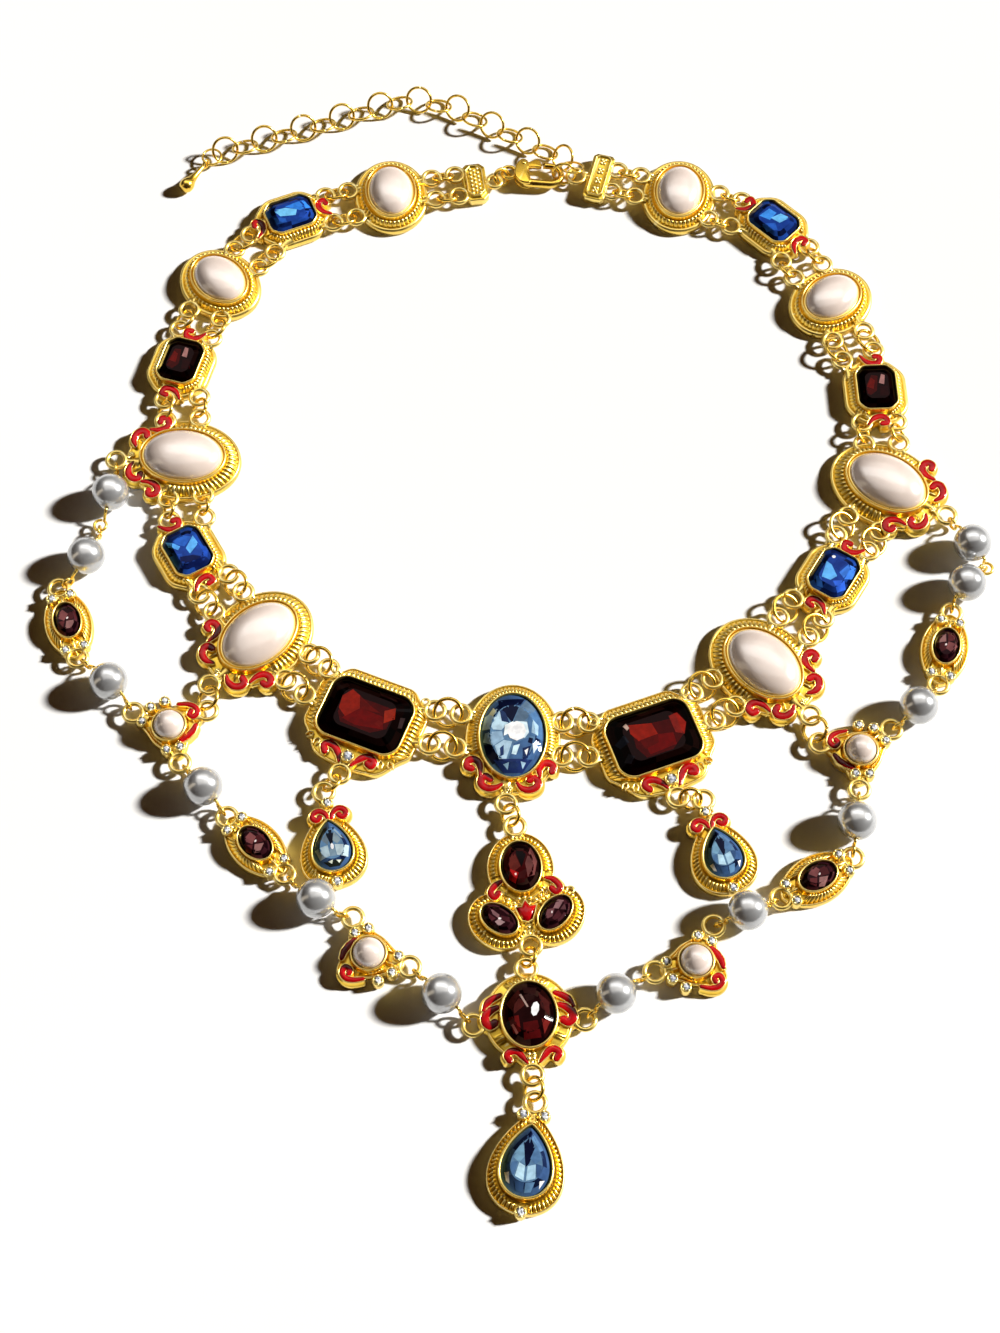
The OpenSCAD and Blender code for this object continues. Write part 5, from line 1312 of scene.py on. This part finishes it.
def medallion():
    p = Piece("vis_medallion").at(MEDAL)
    n = DENSE
    paths = []
    for e in (-1, 1):
        paths.append(charted_scroll(p, enamel, [(6.2, 1.9), (7.5, 1.3), (8.5, 0.3), (8.45, -0.9), (7.6, -1.6), (6.8, -1.2)], 1.8, flip=(e, 1), ends=(0.6, 0.95)))
        paths.append(charted_scroll(p, enamel, [(5.5, 4.3), (6.9, 3.7), (8.1, 2.8), (8.8, 1.6)], 1.4, flip=(e, 1), ends=(0.7, 0.5)))
    paths.append(charted_scroll(p, enamel, [(-0.9, -9.2), (-1.7, -8.1), (-2.6, -7.1), (-3.7, -6.9), (-4.7, -7.6), (-4.3, -8.6)], 1.4))
    paths.append(charted_scroll(p, enamel, [(1.7, -9.1), (2.6, -8.0), (3.6, -7.0), (4.7, -6.9), (5.4, -7.7), (4.9, -8.6)], 1.4))
    for x in (-0.45, 0.45):
        for y in (-8.5, -7.6):
            p.ball((x, y, 2.35), 0.48, 8, 5)
    paths.append(np.array([(0, -8)]))
    border(p, oval(10.4, 12.7, n), oval(17.6, 18, n), 0.85, 0.4, paths, lip=0.6, rib_top=2.6, rib_low=1.6, rim=0.7, reach_=(2.0, 3.4))
    cast_loop(p, MED_TOP, -90, LOOP_R, 2)
    cast_loop(p, MED_LOW, 90, LOOP_R, 2)
    for e in (-1, 1):
        cast_loop(p, (e * MED_SIDE[0], MED_SIDE[1]), 90 + 90 * e, LOOP_R, 1.6)
    p.build([GOLD], "gold", ["medallion"])
    garnet_oval.at(MEDAL)
    faceted(garnet_oval, oval(10.3, 12.6, 80), GARNET_EDGE, (0.018, 0.003, 0.004), MEDAL_FACETS, t=0.6, nf=10, size=(5.15, 6.3))


def end_drop():
    p = Piece("vis_end_drop").at(DROP)
    n = DENSE
    spots = []
    for c in ((-2.0, 9.0), (2.1, 9.1), (0, -9.5)):
        gem_cup(p, gems, c, 0.9, 2.8)
        spots.append(np.array([c]))
    border(p, pear(9.6, 13.4, n), pear(15, 20, n), 0.85, 0.7, spots, lip=0.55, rib_top=2.35, rib_low=1.85, rim=0.5, smooth_band=0.42, raised=0.4)
    cast_loop(p, DROP_HOLE, -90, LOOP_R, 2)
    p.build([GOLD], "gold", ["end_drop"])
    aquas.at(DROP)
    faceted(aquas, pear(9.5, 13.3, 80), AQUA_EDGE, AQUA_BASE, END_FACETS, t=0.64, nf=8, size=(4.75, 6.6))


trefoil()
medallion()
end_drop()


# ---------------------------------------------------------------- beads, pins and rings
HOLES_L = [hang(L4), np.array(MEET_L, float), np.array(MEET_L, float), nav_hole(0, -1), nav_hole(0, 1), tri_hole(0, 0), tri_hole(0, 1), nav_hole(1, -1),
           nav_hole(1, 1), tri_hole(1, 1), tri_hole(1, 0), placed(MEDAL, (-MED_SIDE[0], MED_SIDE[1]))]
HOLES_R = [hang(R4), np.array(MEET_R, float), np.array(MEET_R, float), nav_hole(2, 1), nav_hole(2, -1), tri_hole(2, 0), tri_hole(2, -1), nav_hole(3, 1),
           nav_hole(3, -1), tri_hole(3, -1), tri_hole(3, 0), placed(MEDAL, MED_SIDE)]


def bead(name, g, a, b):
    p = Piece("vis_" + name)
    m = spin((0, 90, heading(b - a)))
    rows = []
    R = BEAD_D / 2
    prof = [(0.5, -3.2), (0.5, -3.86), (0.62, -3.93)]
    for x in np.linspace(12, 168, 27):
        prof.append((R * math.sin(math.radians(x)), -R * math.cos(math.radians(x))))
    prof += [(0.62, 3.93), (0.5, 3.86), (0.5, 3.2)]
    for r, z in prof[::-1]:
        rows.append(z3(oval(2 * r, 2 * r, 48), z) @ m.T + np.array([*g, R]))
    p.rings(rows)
    p.build([GREY], "grey_bead", [name])


def eye_of(h, elbow, near, far):
    """ring of an eye that hangs on the loop at h"""
    d = np.array(elbow[:2]) - h
    r = max(near, min(far, np.linalg.norm(d) - 1.1))
    c = np.array([*(h + unit(d) * r), LOOP_Z])
    up = unit(np.array(elbow) - c)
    side = np.array([*unit(d), 0.0])
    zed = np.array([0, 0, 1.0])
    start = math.atan2(up.dot(zed), up.dot(side))
    a = start + np.radians(np.linspace(14, 352, 22))
    ring = c + EYE_R * (np.cos(a)[:, None] * side + np.sin(a)[:, None] * zed)
    return ring


def flat_eye_of(h, elbow):
    d = np.array(elbow[:2]) - h
    s = math.atan2(d[1], d[0])
    a = s + np.radians(np.linspace(14, 352, 22))
    return np.column_stack([h[0] + EYE_R * np.cos(a), h[1] + EYE_R * np.sin(a), np.full(len(a), LOOP_Z)])


def eye_pin(g, a, b, kind):
    g = np.array(g, float)
    w = unit(b - a) * (BEAD_D / 2 + 0.5)
    ea, eb = np.array([*(g - w), BEAD_D / 2]), np.array([*(g + w), BEAD_D / 2])
    first = eye_of(a, ea, 0.8, 1.7) if kind == 2 else eye_of(a, ea, 1.6, 2.35)
    last = flat_eye_of(b, eb) if kind == 1 else eye_of(b, eb, 1.6, 2.35)
    for ring, e, o in ((first, ea, eb), (last, eb, ea)):
        stem = [ring[-1] + (e - ring[-1]) * t for t in (0.35, 0.75)]
        bend = [e + (o - e) * 0.02, e + (o - e) * 0.1]
        pins.tube(np.concatenate([ring, stem, [e], bend]), PIN_W - 0.03, nv=10)
    pins.tube(np.array([ea + (eb - ea) * t for t in (0.02, 0.5, 0.98)]), PIN_W - 0.03, nv=10)


for n_ in range(6):
    bead(f"bead_l{n_ + 1}", BEADS_L[n_], HOLES_L[2 * n_], HOLES_L[2 * n_ + 1])
    bead(f"bead_r{n_ + 1}", BEADS_R[n_], HOLES_R[2 * n_], HOLES_R[2 * n_ + 1])
    kind_ = 1 if n_ == 0 else 2 if n_ == 1 else 0
    eye_pin(BEADS_L[n_], HOLES_L[2 * n_], HOLES_L[2 * n_ + 1], kind_)
    eye_pin(BEADS_R[n_], HOLES_R[2 * n_], HOLES_R[2 * n_ + 1], kind_)


def leaning_ring(c, a, r, seam):
    roll = math.degrees(math.asin(min(1, (LOOP_Z - RING_W - 0.05) / r)))
    rings.torus((*c, LOOP_Z), r, RING_W + 0.05, (roll, 0, a), nu=44, nv=12, gap_deg=3, gap_at=seam)


seam_ = 0
for j in range(len(COLLAR) - 1):
    m_, u_ = gap(j)
    for s_ in (-1, 1):
        seam_ += 77
        leaning_ring(m_ + perp(u_) * s_ * COLLAR[j][6], heading(u_), COLLAR[j][7], seam_)
for a_, b_ in ((hang(C0), placed(TREFOIL, TRE_TOP)), (placed(TREFOIL, TRE_LOW), placed(MEDAL, MED_TOP)), (placed(MEDAL, MED_LOW), placed(DROP, DROP_HOLE)),
               (hang(L1), placed(SIDE_L, SIDE_HOLE)), (hang(R1), placed(SIDE_R, SIDE_HOLE)), (hang(L2), tri_hole(0, -1)), (hang(R2), tri_hole(2, 1)),
               (np.array([-3.9, 141.3]), np.array(CLASP[:2], float))):
    seam_ += 77
    leaning_ring((a_ + b_) / 2, heading(b_ - a_), drop_ring(a_, b_), seam_)
rings.torus((*HOOK_RING, 2.84), 2.6, RING_W, (70, 0, CLASP[2]), nu=52, nv=12, gap_deg=2.5, gap_at=200)


# ---------------------------------------------------------------- extender
def extender():
    p = Piece("vis_extender_chain")
    for n in range(LINKS):
        s = max(0, n - 1) * LINK_PITCH
        c = walk(ROUTE, s)
        even = n % 2 == 0
        if n == 0:
            p.torus(START, START_R, LINK_W, (15, 20, 125), nu=44, nv=10, gap_deg=3, gap_at=100)
            continue
        d = walk(ROUTE, s + 2) - walk(ROUTE, s - 2) if s > 2 else np.array([-8.1, 4.9])
        a = 120 if n == 1 else heading(d)
        p.torus((*c, 1.58 if even else 2.57), LINK_R, LINK_W + 0.05, (25 if even else -50, 0, a), nu=44, nv=10, gap_deg=3, gap_at=90 + 180 * (n % 3 == 0))
    last = (LINKS - 2) * LINK_PITCH
    end = walk(ROUTE, last + 3.4)
    p.torus((*end, 1.6), 2.2, LINK_W, nu=40, nv=10)
    p.build([GOLD_BRIGHT], "gold", ["extender_chain"])
    w = Piece("vis_chain_weight")
    d = unit(np.array([-0.55, -0.84]))
    e = end + d * 2.45
    w.torus((*e, 1.6), 1.0, 0.33, (90, 0, heading(d)), nu=28, nv=10)
    m = spin((0, 90, heading(d)))
    prof = [(0.1, 0.95), (0.42, 1.0), (0.5, 1.25), (0.52, 2.0), (0.62, 3.2), (0.78, 4.4), (0.98, 5.4), (1.25, 6.0), (1.5, 6.5), (1.64, 7.1), (1.65, 7.6), (1.52, 8.15), (1.2, 8.65), (0.75, 8.95), (0.1, 9.04)]
    w.rings([z3(oval(2 * r, 2 * r, 28), z) @ m.T + np.array([*e, 1.7]) for r, z in prof[::-1]], cap_first=True, cap_last=True)
    w.build([GOLD_BRIGHT], "gold", ["chain_weight"])


extender()

# ---------------------------------------------------------------- clasp
LEVER_LOW, LEVER_HIGH, PIN_R = 1.3, 2.3, 0.5


def closed_curve(points, n=6):
    """smooth closed line through a few points"""
    q = list(points)
    c = curve([q[-1]] + q + q[:2], n)
    return c[n:n * (len(q) + 1)]


def slab(p, c, low, high, soft=0.3):
    """plate with rounded edges"""
    p.rings([z3(c.mean(0) + (c - c.mean(0)) * 0.03, high), z3(off(c, -soft), high), z3(off(c, -0.55 * soft), high - 0.08 * soft), z3(off(c, -0.18 * soft), high - 0.4 * soft),
             z3(c, high - soft), z3(c, low + 0.1), z3(off(c, -0.1), low)], cap_first=True, cap_last=True)


def clasp():
    p = Piece("vis_clasp_body").at(CLASP)
    p.torus((0, 0, LOOP_Z), 1.6, LOOP_W, nu=40, nv=12)
    cheek = closed_curve([(1.3, -1.1), (2.3, -2.8), (3.8, -3.5), (5.3, -3.2), (5.1, -1.4), (4.5, 0), (4.6, 1.4), (4.2, 2.9), (3.2, 3.5), (2.2, 3.0), (1.4, 1.3)])
    slab(p, cheek, LEVER_HIGH + 0.12, 3.12, 0.45)
    slab(p, cheek, 0.5, LEVER_LOW - 0.12, 0.2)
    slab(p, closed_curve([(1.35, -1.0), (2.4, -2.7), (3.9, -3.4), (5.2, -3.1), (5.0, -1.4), (4.5, -0.1), (3.0, 0.3), (1.6, 0.1)]), 0.7, 2.9, 0.2)
    p.rings([z3(oval(0.1, 0.1, 20) + PIVOT, 3.3), z3(oval(1.1 * PIN_R, 1.1 * PIN_R, 20) + PIVOT, 3.27), z3(oval(2 * PIN_R, 2 * PIN_R, 20) + PIVOT, 3.14), z3(oval(2 * PIN_R, 2 * PIN_R, 20) + PIVOT, LEVER_HIGH + 0.06)], cap_first=True, cap_last=True)
    p.rings([z3(oval(2 * PIN_R, 2 * PIN_R, 20) + PIVOT, LEVER_LOW - 0.06), z3(oval(2 * PIN_R, 2 * PIN_R, 20) + PIVOT, 0.7)], cap_first=True, cap_last=True)
    a = np.radians(np.linspace(-90, 90, 17))
    path = [(3.6, -HOOK_R + 0.35), (4.6, -HOOK_R + 0.08), (6.0, -HOOK_R), (7.6, -HOOK_R)] + [(HOOK_X + HOOK_R * math.cos(x), HOOK_R * math.sin(x)) for x in a] + [(8.6, HOOK_R), (7.8, HOOK_R)]
    x = np.linspace(0, 1, len(path))
    p.tube(z3(np.array(path), np.full(len(path), LOOP_Z)), np.interp(x, [0, 0.15, 0.5, 0.8, 1], [1.15, 1.0, HOOK_W + 0.12, HOOK_W + 0.06, HOOK_W + 0.1]), nv=14)
    p.build([GOLD_BRIGHT], "gold", ["clasp_body"])
    q = Piece("vis_clasp_lever").at(CLASP)
    arm = closed_curve([(2.25, 2.0), (3.1, 1.15), (4.7, 1.85), (7.2, 1.9), (7.4, 2.6), (7.2, 3.2), (6.7, 3.85), (5.6, 3.85), (4.5, 3.2), (3.1, 3.25)], 5)
    slab(q, arm, LEVER_LOW, LEVER_HIGH, 0.2)
    for t in (5.75, 6.15, 6.55):
        q.tube(np.array([(t, 3.72, LEVER_LOW + 0.15), (t, 3.86, LOOP_Z), (t, 3.72, LEVER_HIGH - 0.15)]), 0.1, nv=6)
    q.build([GOLD_BRIGHT], "gold", ["clasp_lever"], body="lever")


clasp()

# ---------------------------------------------------------------- finish the shared pieces
enamel.build([ENAMEL], "red_enamel", ["red_enamel"])
gems.build([GLASS_STONE], "crystal", ["clear_crystals"])
pearls.build([PEARL], "pearl", ["pearl_cabochons"])
pearls_small.build([PEARL], "pearl", ["small_pearls"])
garnets.build([GLASS_STONE], "garnet", ["garnet_octagons"])
sapphires.build([GLASS_STONE], "sapphire", ["blue_octagons"])
aquas.build([GLASS_STONE], "aqua", ["aqua_stones"])
garnet_oval.build([GLASS_STONE], "garnet", ["garnet_ovals"])
amethysts.build([GLASS_STONE], "amethyst", ["amethyst_ovals"])
rings.build([GOLD_BRIGHT], "gold", ["jump_rings"])
pins.build([GOLD_BRIGHT], "gold", ["eye_pins"])

# ---------------------------------------------------------------- stage, light, camera
floor_mat, nt, b = material("pale_floor")
n1 = noise(nt, 3.0, 2)
nt.links.new(ramp(nt, n1.outputs["Fac"], [(0.3, (0.90, 0.90, 0.90)), (0.7, (0.94, 0.94, 0.94))]).outputs["Color"], b.inputs["Base Color"])
b.inputs["Roughness"].default_value = 0.7
b.inputs["Specular IOR Level"].default_value = 0.0
me = bpy.data.meshes.new("floor")
s = 3.0
me.from_pydata([(-s, -s, -0.0002), (s, -s, -0.0002), (s, s, -0.0002), (-s, s, -0.0002)], [], [(0, 1, 2, 3)])
me.materials.append(floor_mat)
floor = bpy.data.objects.new("floor", me)
bpy.context.scene.collection.objects.link(floor)
floor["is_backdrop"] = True

scene = bpy.context.scene
world = bpy.data.worlds.new("studio")
scene.world = world
world.use_nodes = True
bg = next(n for n in world.node_tree.nodes if n.type == "BACKGROUND")
bg.inputs["Color"].default_value = (0.36, 0.17, 0.055, 1)
bg.inputs["Strength"].default_value = 0.07


def aim(o, at, frm):
    from mathutils import Vector
    d = Vector(at) - Vector(frm)
    o.location = frm
    o.rotation_euler = d.to_track_quat("-Z", "Y").to_euler()


def lamp(name, kind, energy, frm, at=(0, 0, 0), size=None, angle=None, colour=(1, 1, 1)):
    l = bpy.data.lights.new(name, kind)
    l.energy = energy
    l.color = colour
    if size:
        l.shape = "RECTANGLE"
        l.size, l.size_y = size
    if angle is not None:
        l.angle = math.radians(angle)
    o = bpy.data.objects.new(name, l)
    scene.collection.objects.link(o)
    aim(o, at, frm)
    return o


# hard key from the right; the soft boxes are only there to be mirrored, so the shadows stay deep
lamp("key", "SUN", 6.7, (0.835, 0.16, 0.53), angle=5, colour=(1.0, 0.985, 0.95))
for box in (lamp("panel", "AREA", 1.9, (0.05, 0.40, 0.78), size=(1.1, 0.35)),
            lamp("wide_panel", "AREA", 4.2, (0.1, 0.55, 1.1), size=(2.2, 1.5), colour=(1.0, 0.93, 0.82)),
            lamp("strip", "AREA", 0.5, (-0.75, -0.15, 0.35), size=(0.2, 0.7), colour=(1.0, 0.86, 0.66))):
    box.visible_diffuse = False
# a soft fill that reaches only the pearls and beads, whose own glow a hard key would lose
fill = lamp("pearl_fill", "AREA", 3.7, (-0.05, 0.30, 0.9), size=(1.2, 1.2), colour=(1.0, 0.97, 0.93))
glow = bpy.data.collections.new("lit_by_pearl_fill")
for o in bpy.data.objects:
    if o.name.startswith(("vis_pearls", "vis_bead", "pearls_set", "pearls_small_set")):
        glow.objects.link(o)
fill.light_linking.receiver_collection = glow

cam = bpy.data.cameras.new("camera")
cam.sensor_fit = "AUTO"
cam.sensor_width = 36
cam.lens = 2200 / 1333 * 36
cam.clip_start, cam.clip_end = 0.01, 20
co = bpy.data.objects.new("camera", cam)
scene.collection.objects.link(co)
co.location = ((-2.63 + SHIFT[0]) * MM, (-178.54 + SHIFT[1]) * MM, 419.76 * MM)
co.rotation_euler = (math.radians(25), 0, 0)
scene.camera = co
scene.view_settings.view_transform = "Standard"
scene.view_settings.look = "None"

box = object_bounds()
print("TRIS", sum(TRIS.values()), sorted(TRIS.items(), key=lambda x: -x[1])[:5])
